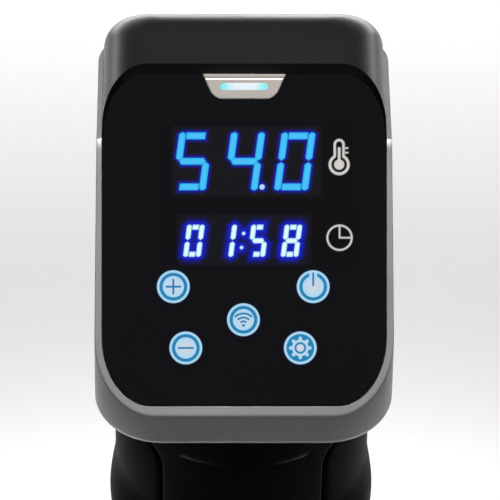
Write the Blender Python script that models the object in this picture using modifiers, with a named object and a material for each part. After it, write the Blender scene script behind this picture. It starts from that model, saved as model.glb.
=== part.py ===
"""Sous vide circulator, as an assembly of separate pieces.

Origin: on the steel sleeve's axis, at the flat underside of the bottom cap.
+Z is up, the control panel faces -Y and +Z, and the pot clamp is on the +Y side.
"""

import math

import bmesh
import bpy
from mathutils import Matrix, Vector

MM = 0.001
GAP = 0.3 * MM
REACH = 5 * MM
FAR = 90 * MM

# Lengths and widths that the others follow
CAP_HEIGHT = 30 * MM
SLEEVE_LENGTH = 197.7 * MM
COLLAR_HEIGHT = 22 * MM
HANDLE_LENGTH = 85.7 * MM
HEAD_HEIGHT = 73.7 * MM
MOTOR_HEIGHT = 38 * MM
SLEEVE_RADIUS = 31 * MM
HEAD_OVERHANG = 1.9 * MM
SHELL_BACK_OVERHANG = 10.365 * MM

# Levels, stacked from the underside of the cap
SHAFT_BOTTOM_Z = 9 * MM
GUIDE_Z = CAP_HEIGHT + 10 * MM
SLEEVE_BOTTOM_Z = CAP_HEIGHT + GAP
PROBE_TIP_Z = SLEEVE_BOTTOM_Z + 29.7 * MM
COIL_TOP_Z = SLEEVE_BOTTOM_Z + 89.7 * MM
SLEEVE_TOP_Z = SLEEVE_BOTTOM_Z + SLEEVE_LENGTH
FLANGE_SPIGOT_BOTTOM_Z = SLEEVE_TOP_Z - 9 * MM
COLLAR_BOTTOM_Z = SLEEVE_TOP_Z - 10 * MM
COUPLING_BOTTOM_Z = SLEEVE_TOP_Z + 12 * MM
LEG_TOP_Z = SLEEVE_TOP_Z + 14 * MM
MOTOR_BOTTOM_Z = COUPLING_BOTTOM_Z + 22.3 * MM
FAN_Z = MOTOR_BOTTOM_Z + MOTOR_HEIGHT + 3.7 * MM
HANDLE_BOTTOM_Z = COLLAR_BOTTOM_Z + COLLAR_HEIGHT + GAP
BULGE_Z = HANDLE_BOTTOM_Z + 21.7 * MM
NECK_Z = BULGE_Z + 17 * MM
HANDLE_TOP_Z = HANDLE_BOTTOM_Z + HANDLE_LENGTH
CLAMP_BRIDGE_Z = HANDLE_BOTTOM_Z + 23.7 * MM
CLAMP_BOTTOM_Z = CLAMP_BRIDGE_Z - 47 * MM
CLAMP_TOP_Z = CLAMP_BRIDGE_Z + 30 * MM
CLAMP_SCREW_Z = CLAMP_BOTTOM_Z + 17 * MM
FIXING_Z = (CLAMP_TOP_Z - 14 * MM, CLAMP_TOP_Z - 5 * MM)
SEAT_BOTTOM_Z = CLAMP_BRIDGE_Z + MM
SHELL_BOTTOM_Z = HANDLE_TOP_Z + GAP
GLAND_Z = SHELL_BOTTOM_Z + 17.7 * MM
TOP_Z = SHELL_BOTTOM_Z + HEAD_HEIGHT
PARTING_Z = TOP_Z - 15 * MM

# Widths, stacked outwards from the sleeve
GUIDE_RADIUS = SLEEVE_RADIUS - 2 * MM
CAP_RADIUS = SLEEVE_RADIUS + MM
COLLAR_RADIUS = SLEEVE_RADIUS + 2.6 * MM
NECK_HALF_WIDTH = COLLAR_RADIUS - GAP
BULGE_HALF_WIDTH = NECK_HALF_WIDTH + 1.7 * MM
HANDLE_DEPTH_RATIO = 0.95
CLAMP_PLATE_Y = NECK_HALF_WIDTH * HANDLE_DEPTH_RATIO + 4.365 * MM
PANEL_HALF_WIDTH = NECK_HALF_WIDTH + HEAD_OVERHANG
SHELL_TOP_HALF_WIDTH = PANEL_HALF_WIDTH + 1.5 * MM
SHELL_BACK_Y = NECK_HALF_WIDTH * HANDLE_DEPTH_RATIO + SHELL_BACK_OVERHANG

# Head
PANEL_TOP_Z = TOP_Z - 3.4 * MM
PANEL_TOP_Y = 15 * MM
PANEL_RUN = 58.2 * MM
PANEL_TOP_CORNER = 11 * MM
PANEL_BOTTOM_CORNER = 12 * MM
PANEL_THICKNESS = 2.4 * MM
SLOPE = math.radians(45)
SHELL_FLOOR = 2 * MM
SHELL_DRAFT = 0.014
SHELL_RIM_FRONT = 2.0 * MM
SHELL_CORNER = 13.5 * MM
SHELL_BOTTOM_CORNER = 17 * MM
SHELL_BACK_CORNER = 9.5 * MM
COVER_TONGUE = 4 * MM
COVER_WALL = 1.8 * MM
COVER_BACK_ROUND = 12 * MM
COVER_SCREW_X = PANEL_HALF_WIDTH - 9.2 * MM
COVER_SCREW_IN = 9 * MM
COVER_SCREW_RADIUS = 1.6 * MM
BOSS_RADIUS = 3.4 * MM
BOSS_BORE_DEPTH = 16 * MM
SCREW_HEAD_RADIUS = 3.2 * MM
SCREW_HEAD = 1.9 * MM

# Display, keys and status light, measured on the panel from its middle
TAB_TOP_WIDTH = 20.8 * MM
TAB_BOTTOM_WIDTH = 12.8 * MM
TAB_HEIGHT = 6.2 * MM
TAB_PROUD = 0.3 * MM
TAB_CORNER = 1.6 * MM
LIGHT_BAR_WIDTH = 11.8 * MM
LIGHT_BAR_HEIGHT = 1.7 * MM
LIGHT_BAR_DROP = 3.2 * MM
KEY_RADIUS = 4.07 * MM
KEY_THICKNESS = 2.2 * MM
KEY_PLACES = {
    "key_plus": (-17.6 * MM, -11.7 * MM),
    "key_power": (17.1 * MM, -11.7 * MM),
    "key_wifi": (-0.2 * MM, -19.9 * MM),
    "key_minus": (-14.5 * MM, -26.9 * MM),
    "key_settings": (13.9 * MM, -26.9 * MM),
}
BIG_MODULE = (38 * MM, 19 * MM)
BIG_MODULE_AT = (0.5 * MM, 19.5 * MM)
SMALL_MODULE = (34 * MM, 14 * MM)
SMALL_MODULE_AT = (0 * MM, -0.3 * MM)
MODULE_DEPTH = 7 * MM
BOARD_THICKNESS = 1.6 * MM
DISPLAY_BOARD = (58 * MM, 60 * MM)
DISPLAY_BOARD_DROP = 2.5 * MM
POWER_BOARD_RISE = 5 * MM
POWER_BOARD = ((-27 * MM, -4 * MM), (27 * MM, 27 * MM))
BOARD_PARTS = {
    "relay": ((-25 * MM, 7 * MM), (-9 * MM, 26 * MM), 15 * MM, "grey_plastic"),
    "transformer": ((-6 * MM, 8 * MM), (14 * MM, 26 * MM), 17 * MM, "white_plastic"),
    "radio_module": ((-12 * MM, -2 * MM), (6 * MM, 6 * MM), 2.4 * MM, "steel"),
    "heat_sink": ((16.5 * MM, 5 * MM), (26 * MM, 26.5 * MM), 20 * MM, "steel"),
}
BOARD_PART_EDGE = 0.5 * MM
SINK_BASE = 2.5 * MM
SINK_SLOTS = 3
SINK_SLOT = 3.5 * MM
SINK_PITCH = 5.5 * MM
BUZZER_AT = (-20 * MM, 2 * MM)
BUZZER_RADIUS = 4.5 * MM
BUZZER_HEIGHT = 5 * MM

# Handle
COVER_SKIN = 3 * MM
CORE_WALL = 2 * MM
FRONT_COVER_HALF = math.radians(40)
REAR_COVER_HALF = math.radians(32)
HEAD_FLANGE = 8 * MM
HEAD_FLANGE_BORE = 22 * MM
HEAD_SCREW_CIRCLE = 25.6 * MM
HEAD_SCREW_LENGTH = 9 * MM

# Tube, flange and cap
SLEEVE_WALL = 0.8 * MM
CAP_WALL = 2 * MM
SPIGOT = 6 * MM
SLOT_WIDTH = 3.6 * MM
SLEEVE_SLOTS = 12
CAP_SLOTS = 16
SLEEVE_SLOT_RISE = (16 * MM, 56 * MM)
CAP_SLOT_Z = (7 * MM, 22 * MM)
FLANGE_THICKNESS = 3 * MM
SEAL_SECTION = 0.55 * MM

# Heater, sensors, drive
COIL_RADIUS = 20 * MM
COIL_WIRE = 3 * MM
COIL_PITCH = 13 * MM
COIL_TURNS = 5
RETURN_LEG_RADIUS = 11.5 * MM
SHAFT_RADIUS = 2.5 * MM
COUPLING_HEIGHT = 14 * MM
COUPLING_RADIUS = 6 * MM
SHAFT_SEAL_RADIUS = 7 * MM
SHAFT_SEAL_HEIGHT = 4 * MM
MOTOR_RADIUS = 17 * MM
MOTOR_WALL = 1.5 * MM
MAGNET = 3.4 * MM
MAGNET_INSET = (7 * MM, 6 * MM)
BRACKET_WALL = 2 * MM
FAN_RADIUS = 19 * MM
FAN_HUB = 6 * MM
FAN_HEIGHT = 8 * MM
FAN_BLADES = 5
BLADE = 1.4 * MM
BLADE_PITCH = 28
IMPELLER_RADIUS = 21 * MM
IMPELLER_HEIGHT = 12 * MM
IMPELLER_HUB = 6 * MM
IMPELLER_DISC = 2 * MM
VANES = 6
VANE = 1.6 * MM
GUIDE_THICKNESS = 3 * MM
GUIDE_BORE = 6 * MM
GUIDE_OPENINGS = 6
GUIDE_OPENING_RADIUS = 6 * MM
GUIDE_OPENING_CIRCLE = 20 * MM
BUSH_COLLAR = 1.5 * MM
BUSH_OVERHANG = 2 * MM
ROD_RADIUS = 1.5 * MM
RODS = {"support_rod_front": (10.5 * MM, -10 * MM), "support_rod_rear": (-10 * MM, 10.5 * MM)}
PROBE_AT = (0, -12 * MM)
PROBE_RADIUS = 2.2 * MM
ELECTRODES = {"level_electrode_low": (4.5 * MM, 12 * MM, SLEEVE_BOTTOM_Z + 61.7 * MM),
              "level_electrode_high": (-3.5 * MM, 12.5 * MM, SLEEVE_BOTTOM_Z + 134.7 * MM)}

# Clamp
CLAMP_WIDTH = 24 * MM
CLAMP_PLATE = 4 * MM
CLAMP_MOUTH = 20 * MM
CLAMP_OUTER = 7 * MM
CLAMP_BRIDGE = 9 * MM
CLAMP_SCREW_RADIUS = 3 * MM
JAW_PAD = 2.2 * MM
PRESSURE_PAD_RADIUS = 9 * MM
PRESSURE_PAD = 5 * MM
PRESSURE_PAD_GAP = 7.5 * MM
KNOB_RADIUS = 15 * MM
KNOB_LENGTH = 13 * MM
KNOB_STANDOFF = 7 * MM
KNOB_BORE = 8 * MM
KNOB_LOBES = 6
KNOB_LOBE_DEPTH = 3.2 * MM
CLAMP_CORNER = 5 * MM
CLAMP_INNER_CORNER = 2 * MM
PAD_SOCKET = 2.5 * MM
JAW_PAD_SHORT = 4 * MM
FIXING_RADIUS = 1.8 * MM
FIXING_LENGTH = 14 * MM
FIXING_HEAD_RADIUS = 3.4 * MM
FIXING_HEAD = 2.4 * MM

# Cord gland
GLAND_RADIUS = 6 * MM
GLAND_BORE = 3.6 * MM
GLAND_LIP = 3 * MM
GLAND_INSIDE = 8 * MM
GLAND_OUTSIDE = 4 * MM

MATERIALS = {
    "satin_metal": ((0.42, 0.41, 0.42), 0.35, 0.8),
    "satin_black": ((0.03, 0.03, 0.035), 0.45, 0.0),
    "gloss_black": ((0.006, 0.006, 0.008), 0.08, 0.0),
    "pale_metal": ((0.62, 0.58, 0.52), 0.35, 0.7),
    "lit_window": ((0.55, 0.8, 0.95), 0.3, 0.0),
    "smoked_window": ((0.02, 0.03, 0.08), 0.2, 0.0),
    "board_green": ((0.02, 0.12, 0.05), 0.5, 0.0),
    "steel": ((0.6, 0.6, 0.6), 0.25, 1.0),
    "copper": ((0.7, 0.35, 0.2), 0.35, 1.0),
    "dark_rubber": ((0.02, 0.02, 0.02), 0.8, 0.0),
    "grey_plastic": ((0.2, 0.2, 0.22), 0.5, 0.0),
    "white_plastic": ((0.75, 0.75, 0.72), 0.5, 0.0),
}


def collection(name):
    made = bpy.data.collections.new(name)
    bpy.context.scene.collection.children.link(made)
    return made


for old in list(bpy.data.objects):
    bpy.data.objects.remove(old, do_unlink=True)

parts = collection("sous_vide_circulator")
cutters = collection("cutters")


def finish(name):
    """The named Principled material, made once."""
    if name in bpy.data.materials:
        return bpy.data.materials[name]
    colour, roughness, metallic = MATERIALS[name]
    made = bpy.data.materials.new(name)
    made.use_nodes = True
    shader = made.node_tree.nodes["Principled BSDF"]
    shader.inputs["Base Color"].default_value = (*colour, 1)
    shader.inputs["Roughness"].default_value = roughness
    shader.inputs["Metallic"].default_value = metallic
    return made


def place(name, mesh, look=None):
    """A part when it has a look, otherwise a cutter."""
    made = bpy.data.objects.new(name, mesh)
    if look:
        parts.objects.link(made)
        mesh.materials.append(finish(look))
    else:
        cutters.objects.link(made)
        made.hide_render = True
        made.display_type = "WIRE"
    return made


def from_bmesh(name, shape, look=None, smooth=True):
    mesh = bpy.data.meshes.new(name)
    bmesh.ops.recalc_face_normals(shape, faces=shape.faces)
    shape.to_mesh(mesh)
    shape.free()
    if smooth:
        mesh.shade_smooth()
        mesh.set_sharp_from_angle(angle=math.radians(35))
    return place(name, mesh, look)


def box(name, low, high, look=None, bevel=0.0):
    low, high = Vector(low), Vector(high)
    shape = bmesh.new()
    size = Matrix.Diagonal((*(high - low), 1))
    bmesh.ops.create_cube(shape, size=1, matrix=Matrix.Translation((low + high) / 2) @ size)
    if bevel:
        bmesh.ops.bevel(shape, geom=shape.edges[:], offset=bevel, segments=2, profile=0.5, affect="EDGES")
    return from_bmesh(name, shape, look, smooth=False)


def rod(name, radius, start, end, look=None, sides=24, end_radius=None):
    """A cylinder or cone between two points."""
    start, end = Vector(start), Vector(end)
    along = end - start
    turn = Vector((0, 0, 1)).rotation_difference(along).to_matrix().to_4x4()
    shape = bmesh.new()
    bmesh.ops.create_cone(shape, cap_ends=True, segments=sides, radius1=radius,
                          radius2=radius if end_radius is None else end_radius, depth=along.length,
                          matrix=Matrix.Translation((start + end) / 2) @ turn)
    return from_bmesh(name, shape, look)


def turned(name, profile, look=None, sides=32, ring=True):
    """A profile of (radius, z) points, down its outer side, turned about Z."""
    mesh = bpy.data.meshes.new(name)
    edges = [(i, i + 1) for i in range(len(profile) - 1)]
    if ring:
        edges.append((len(profile) - 1, 0))
    mesh.from_pydata([(r, 0, z) for r, z in profile], edges, [])
    made = place(name, mesh, look)
    screw = made.modifiers.new("turn", "SCREW")
    screw.steps = sides
    screw.render_steps = sides
    screw.use_merge_vertices = True
    screw.merge_threshold = 0.00005
    screw.use_smooth_shade = True
    return made


def tube(name, inner, outer, bottom, top, look=None, sides=32):
    return turned(name, [(outer, top), (outer, bottom), (inner, bottom), (inner, top)], look, sides)


def arc(centre, radius, start, end, steps):
    """Points on an arc, from start to end in degrees."""
    turns = [math.radians(start + (end - start) * i / steps) for i in range(steps + 1)]
    return [(centre[0] + radius * math.cos(t), centre[1] + radius * math.sin(t)) for t in turns]


def rounded_outline(half, front, back, front_round, back_round, steps=5):
    """A rectangle with round corners: half width, front and back positions."""
    return (arc((half - front_round, front + front_round), front_round, -90, 0, steps)
            + arc((half - back_round, back - back_round), back_round, 0, 90, steps)
            + arc((-half + back_round, back - back_round), back_round, 90, 180, steps)
            + arc((-half + front_round, front + front_round), front_round, 180, 270, steps))


def plate(name, outline, low, high, look=None):
    """A flat outline given thickness from low to high along Z, as a mesh."""
    curve = bpy.data.curves.new(name, "CURVE")
    curve.dimensions = "2D"
    curve.fill_mode = "BOTH"
    curve.extrude = (high - low) / 2
    spline = curve.splines.new("POLY")
    spline.points.add(len(outline) - 1)
    for point, (x, y) in zip(spline.points, outline):
        point.co = (x, y, 0, 1)
    spline.use_cyclic_u = True
    drawn = bpy.data.objects.new(name + "_outline", curve)
    cutters.objects.link(drawn)
    graph = bpy.context.evaluated_depsgraph_get()
    mesh = bpy.data.meshes.new_from_object(drawn.evaluated_get(graph))
    bpy.data.objects.remove(drawn, do_unlink=True)
    shape = bmesh.new()
    shape.from_mesh(mesh)
    bpy.data.meshes.remove(mesh)
    bmesh.ops.remove_doubles(shape, verts=shape.verts, dist=0.000001)
    bmesh.ops.translate(shape, verts=shape.verts, vec=(0, 0, (low + high) / 2))
    return from_bmesh(name, shape, look)


def side_plate(name, outline, half_width, look=None):
    """A plate whose outline is in (y, z), centred on X."""
    made = plate(name, outline, -half_width, half_width, look)
    made.data.transform(Matrix(((0, 0, 1, 0), (1, 0, 0, 0), (0, 1, 0, 0), (0, 0, 0, 1))))
    return made


def loft(name, rings, look=None, closed=False):
    """Rings of equal length joined by quads: capped at both ends, or closed round on itself."""
    shape = bmesh.new()
    rows = [[shape.verts.new(point) for point in ring] for ring in rings]
    count = len(rows[0])
    pairs = list(zip(rows, rows[1:]))
    if closed:
        pairs.append((rows[-1], rows[0]))
    for low, high in pairs:
        for i in range(count):
            j = (i + 1) % count
            shape.faces.new((low[i], low[j], high[j], high[i]))
    if not closed:
        shape.faces.new(rows[0])
        shape.faces.new(rows[-1])
    return from_bmesh(name, shape, look)


def boolean(target, cutter, operation="DIFFERENCE"):
    step = target.modifiers.new(operation.lower(), "BOOLEAN")
    step.operation = operation
    step.solver = "EXACT"
    step.object = cutter
    return target


def cutter_group(name, makers):
    """Several cutters that don't touch, joined into one mesh."""
    shape = bmesh.new()
    for made in makers:
        shape.from_mesh(made.data)
        bpy.data.objects.remove(made, do_unlink=True)
    return from_bmesh(name, shape)


# The panel's own axes: x across, v up the slope, n out of it
PANEL_MIDDLE = Vector((0, PANEL_TOP_Y - PANEL_RUN / 2, PANEL_TOP_Z - PANEL_RUN / 2 * math.tan(SLOPE)))
PANEL_UP = Vector((0, math.cos(SLOPE), math.sin(SLOPE)))
PANEL_OUT = Vector((0, -math.sin(SLOPE), math.cos(SLOPE)))
PANEL_TURN = Matrix((
    (1, PANEL_UP.x, PANEL_OUT.x, PANEL_MIDDLE.x),
    (0, PANEL_UP.y, PANEL_OUT.y, PANEL_MIDDLE.y),
    (0, PANEL_UP.z, PANEL_OUT.z, PANEL_MIDDLE.z),
    (0, 0, 0, 1)))
PANEL_HALF_SLOPE = PANEL_RUN / 2 / math.cos(SLOPE)


def on_panel(made):
    """Takes a piece modelled flat at the origin to the panel's plane."""
    made.matrix_world = PANEL_TURN
    return made


def slope_box(name, low_n, high_n, reach=FAR):
    """A slab parallel to the panel, between two distances out of its face."""
    return on_panel(box(name, (-reach, -reach, low_n), (reach, reach, high_n)))


def shell_ring(z, inset=0.0):
    half = SHELL_TOP_HALF_WIDTH + (PARTING_Z - z) * SHELL_DRAFT - inset
    front = PANEL_TOP_Y - PANEL_RUN - SHELL_RIM_FRONT + inset
    share = min(max((PARTING_Z - z) / (PARTING_Z - SHELL_BOTTOM_Z), 0), 1) ** 4
    corner = SHELL_CORNER + (SHELL_BOTTOM_CORNER - SHELL_CORNER) * share - inset
    outline = rounded_outline(half, front, SHELL_BACK_Y - inset, corner, SHELL_BACK_CORNER - inset)
    return [(x, y, z) for x, y in outline]


def head():
    levels = [SHELL_BOTTOM_Z, SHELL_BOTTOM_Z + 5 * MM, SHELL_BOTTOM_Z + 11 * MM, PARTING_Z]
    shell = loft("head_shell", [shell_ring(z) for z in levels], "satin_metal")
    front = PANEL_TOP_Y - PANEL_RUN
    wall = SHELL_TOP_HALF_WIDTH - PANEL_HALF_WIDTH
    hollow = rounded_outline(PANEL_HALF_WIDTH + GAP, front - GAP, SHELL_BACK_Y - wall + GAP,
                             PANEL_BOTTOM_CORNER, SHELL_BACK_CORNER - wall)
    boolean(shell, plate("shell_hollow", hollow, SHELL_BOTTOM_Z + SHELL_FLOOR, TOP_Z))
    boolean(shell, slope_box("above_panel", 0, FAR))
    boolean(shell, rod("shell_floor_hole", HEAD_FLANGE_BORE, (0, 0, SHELL_BOTTOM_Z - CAP_WALL),
                       (0, 0, SHELL_BOTTOM_Z + 2 * SHELL_FLOOR), sides=36))
    boolean(shell, rod("gland_hole", GLAND_RADIUS + GAP, (0, SHELL_BACK_Y - GLAND_INSIDE, GLAND_Z),
                       (0, SHELL_BACK_Y + GLAND_OUTSIDE, GLAND_Z)))

    panel_outline = rounded_outline(PANEL_HALF_WIDTH, front, PANEL_TOP_Y,
                                    PANEL_BOTTOM_CORNER, PANEL_TOP_CORNER)
    panel = plate("control_panel", panel_outline, SHELL_BOTTOM_Z, TOP_Z, "gloss_black")
    boolean(panel, slope_box("panel_slab", -PANEL_THICKNESS, 0), "INTERSECT")
    tab_outline = tab_shape(GAP)
    notch = on_panel(plate("tab_notch", tab_outline, -REACH, REACH))
    boolean(panel, notch)
    holes = [rod("hole", KEY_RADIUS + GAP, (x, v, -REACH), (x, v, REACH), sides=28)
             for x, v in KEY_PLACES.values()]
    boolean(panel, on_panel(cutter_group("key_holes", holes)))

    for name, (x, v) in KEY_PLACES.items():
        on_panel(rod(name, KEY_RADIUS, (x, v, -KEY_THICKNESS), (x, v, 0), "lit_window", sides=28))
    tab = on_panel(plate("status_tab", tab_shape(0), -PANEL_THICKNESS, TAB_PROUD, "pale_metal"))
    boolean(tab, plate("tab_limit", panel_outline, SHELL_BOTTOM_Z, TOP_Z), "INTERSECT")
    bar_v = PANEL_HALF_SLOPE - LIGHT_BAR_DROP
    bar_half = Vector((LIGHT_BAR_WIDTH / 2, LIGHT_BAR_HEIGHT / 2))
    slot_half = bar_half + Vector((GAP, GAP))
    slot = on_panel(box("bar_slot", (-slot_half.x, bar_v - slot_half.y, -REACH),
                        (slot_half.x, bar_v + slot_half.y, REACH)))
    boolean(tab, slot)
    on_panel(box("status_light_bar", (-bar_half.x, bar_v - bar_half.y, -PANEL_THICKNESS),
                 (bar_half.x, bar_v + bar_half.y, TAB_PROUD), "lit_window"))


def tab_shape(clear):
    """The tab's outline on the panel, run past its top edge: wide there, with round lower corners."""
    over = 4 * MM
    splay = (TAB_TOP_WIDTH - TAB_BOTTOM_WIDTH) / 2 / TAB_HEIGHT
    top = PANEL_HALF_SLOPE + over
    bottom = PANEL_HALF_SLOPE - TAB_HEIGHT - clear
    wide, narrow = TAB_TOP_WIDTH / 2 + clear + over * splay, TAB_BOTTOM_WIDTH / 2 + clear
    rise = TAB_CORNER
    return [(wide, top), (-wide, top), (-narrow - rise * 0.55, bottom + rise), (-narrow, bottom + 0.4 * rise),
            (-narrow + rise * 0.6, bottom), (narrow - rise * 0.6, bottom), (narrow, bottom + 0.4 * rise),
            (narrow + rise * 0.55, bottom + rise)]


def top_cover():
    bottom = PARTING_Z - COVER_TONGUE
    back = SHELL_BACK_Y - (SHELL_TOP_HALF_WIDTH - PANEL_HALF_WIDTH)
    side = (PANEL_HALF_WIDTH, bottom)
    round_top = PANEL_TOP_CORNER
    across = [side] + arc((PANEL_HALF_WIDTH - round_top, TOP_Z - round_top), round_top, 0, 90, 8)
    across += [(-x, z) for x, z in reversed(across)]
    cover = plate("top_cover", across, -FAR, FAR, "satin_black")
    cover.data.transform(Matrix(((1, 0, 0, 0), (0, 0, -1, 0), (0, 1, 0, 0), (0, 0, 0, 1))))
    corner = SHELL_BACK_CORNER - (SHELL_BACK_Y - back)
    plan = rounded_outline(PANEL_HALF_WIDTH, -30 * MM, back, 2 * MM, corner)
    boolean(cover, plate("cover_plan", plan, bottom - MM, TOP_Z + MM), "INTERSECT")
    lengthways = [(-31 * MM, bottom - MM), (back, bottom - MM)]
    lengthways += arc((back - COVER_BACK_ROUND, TOP_Z - COVER_BACK_ROUND), COVER_BACK_ROUND, 0, 90, 8)
    lengthways.append((-31 * MM, TOP_Z))
    boolean(cover, side_plate("cover_back_round", lengthways, FAR), "INTERSECT")
    lift = (TOP_Z - PANEL_TOP_Z) * math.cos(SLOPE)
    boolean(cover, slope_box("above_lip", lift, FAR))
    recess = rounded_outline(PANEL_HALF_WIDTH + GAP, -60 * MM, PANEL_TOP_Y + GAP, 2 * MM,
                             PANEL_TOP_CORNER + GAP)
    boolean(cover, plate("cover_recess", recess, bottom - REACH, TOP_Z + REACH))
    inner_front = PANEL_TOP_Y + COVER_WALL
    inner = rounded_outline(PANEL_HALF_WIDTH - COVER_WALL, inner_front, back - COVER_WALL,
                            COVER_WALL, SHELL_BACK_CORNER - 3 * MM)
    boolean(cover, plate("cover_hollow", inner, bottom - REACH, TOP_Z - PANEL_TOP_CORNER))
    upper = rounded_outline(PANEL_HALF_WIDTH - PANEL_TOP_CORNER + 3 * MM, inner_front,
                            back - COVER_BACK_ROUND + 3 * MM, 2 * MM, 4 * MM)
    boolean(cover, plate("cover_hollow_upper", upper, bottom, TOP_Z - COVER_WALL))
    for name, side_x in (("cover_screw_left", -1), ("cover_screw_right", 1)):
        cover_screw(name, cover, side_x * COVER_SCREW_X, back - COVER_SCREW_IN)


def cover_screw(name, cover, x, y):
    """A boss under the cover, and the screw that comes up into it through the shell's floor."""
    floor_top = SHELL_BOTTOM_Z + SHELL_FLOOR
    boolean(cover, rod("cover_boss", BOSS_RADIUS, (x, y, floor_top + GAP),
                       (x, y, TOP_Z - PANEL_TOP_CORNER + MM), sides=16), "UNION")
    boolean(cover, rod("boss_bore", COVER_SCREW_RADIUS + GAP, (x, y, SHELL_BOTTOM_Z - SHELL_FLOOR),
                       (x, y, floor_top + BOSS_BORE_DEPTH), sides=12))
    boolean(bpy.data.objects["head_shell"],
            rod("cover_screw_hole", COVER_SCREW_RADIUS + 2 * GAP, (x, y, SHELL_BOTTOM_Z - SHELL_FLOOR),
                (x, y, floor_top + MM), sides=16))
    tip, seat = floor_top + BOSS_BORE_DEPTH - 4 * MM, SHELL_BOTTOM_Z - GAP
    turned(name, [(0, tip), (COVER_SCREW_RADIUS, tip), (COVER_SCREW_RADIUS, seat), (SCREW_HEAD_RADIUS, seat),
                  (SCREW_HEAD_RADIUS, seat - SCREW_HEAD), (0, seat - SCREW_HEAD)],
           "steel", 16, ring=False).location = (x, y, 0)


def electronics():
    depth = -PANEL_THICKNESS - 0.5 * MM
    for name, (wide, tall), (x, v) in (("temperature_display", BIG_MODULE, BIG_MODULE_AT),
                                       ("timer_display", SMALL_MODULE, SMALL_MODULE_AT)):
        on_panel(box(name, (x - wide / 2, v - tall / 2, depth - MODULE_DEPTH),
                     (x + wide / 2, v + tall / 2, depth), "smoked_window", 0.4 * MM))
    board_top = depth - MODULE_DEPTH - GAP
    half_x, half_v = DISPLAY_BOARD[0] / 2, DISPLAY_BOARD[1] / 2
    on_panel(box("display_board", (-half_x, -half_v - DISPLAY_BOARD_DROP, board_top - BOARD_THICKNESS),
                 (half_x, half_v - DISPLAY_BOARD_DROP, board_top), "board_green"))
    board_z = SHELL_BOTTOM_Z + SHELL_FLOOR + POWER_BOARD_RISE
    (left, front), (right, back) = POWER_BOARD
    box("power_board", (left, front, board_z), (right, back, board_z + BOARD_THICKNESS), "board_green")
    top = board_z + BOARD_THICKNESS + GAP
    for name, (low, high, height, look) in BOARD_PARTS.items():
        made = box(name, (*low, top), (*high, top + height), look, BOARD_PART_EDGE)
        if name == "heat_sink":
            for i in range(SINK_SLOTS):
                y = low[1] + SINK_BASE + SINK_PITCH * i
                boolean(made, box("sink_slot", (low[0] + SINK_BASE, y, top + SINK_BASE),
                                  (high[0] + MM, y + SINK_SLOT, top + height + MM)))
    rod("buzzer", BUZZER_RADIUS, (*BUZZER_AT, top), (*BUZZER_AT, top + BUZZER_HEIGHT), "gloss_black", 20)
    cord_gland()


def cord_gland():
    """A bush through the shell's back, drawn along -Z from its inner end and then turned to +Y."""
    lip = GLAND_INSIDE + GLAND_OUTSIDE / 2
    end = GLAND_INSIDE + GLAND_OUTSIDE
    wide = GLAND_RADIUS + GLAND_LIP
    gland = turned("cord_gland", [(GLAND_BORE, 0), (GLAND_RADIUS, 0), (GLAND_RADIUS, -GLAND_INSIDE),
                                  (wide, -GLAND_INSIDE), (wide, -lip), (GLAND_RADIUS, -end), (GLAND_BORE, -end)],
                   "dark_rubber", 28)
    gland.rotation_euler = (math.radians(90), 0, 0)
    gland.location = (0, SHELL_BACK_Y + GAP - GLAND_INSIDE, GLAND_Z)


def handle_half(z):
    """Half width of the handle at a level: a straight neck over a soft bulge."""
    if z >= NECK_Z:
        return NECK_HALF_WIDTH
    span = NECK_Z - BULGE_Z if z > BULGE_Z else BULGE_Z - HANDLE_BOTTOM_Z
    ends = NECK_HALF_WIDTH if z > BULGE_Z else COLLAR_RADIUS
    share = min(abs(z - BULGE_Z) / span, 1)
    return BULGE_HALF_WIDTH + (ends - BULGE_HALF_WIDTH) * (3 * share ** 2 - 2 * share ** 3)


def handle_point(z, angle, inset):
    half = handle_half(z) - inset
    depth = handle_half(z) * HANDLE_DEPTH_RATIO - inset
    return (half * math.sin(angle), -depth * math.cos(angle), z)


def sector(name, centre, spread, look, steps, levels):
    """A curved cover over part of the handle's girth; spread gives its half angle at a level."""
    rings = []
    for z in levels:
        half = spread(z)
        angles = [centre - half + 2 * half * i / steps for i in range(steps + 1)]
        outer = [handle_point(z, a, 0) for a in angles]
        inner = [handle_point(z, a, COVER_SKIN - GAP) for a in reversed(angles)]
        rings.append(outer + inner)
    return loft(name, rings, look)


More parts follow.
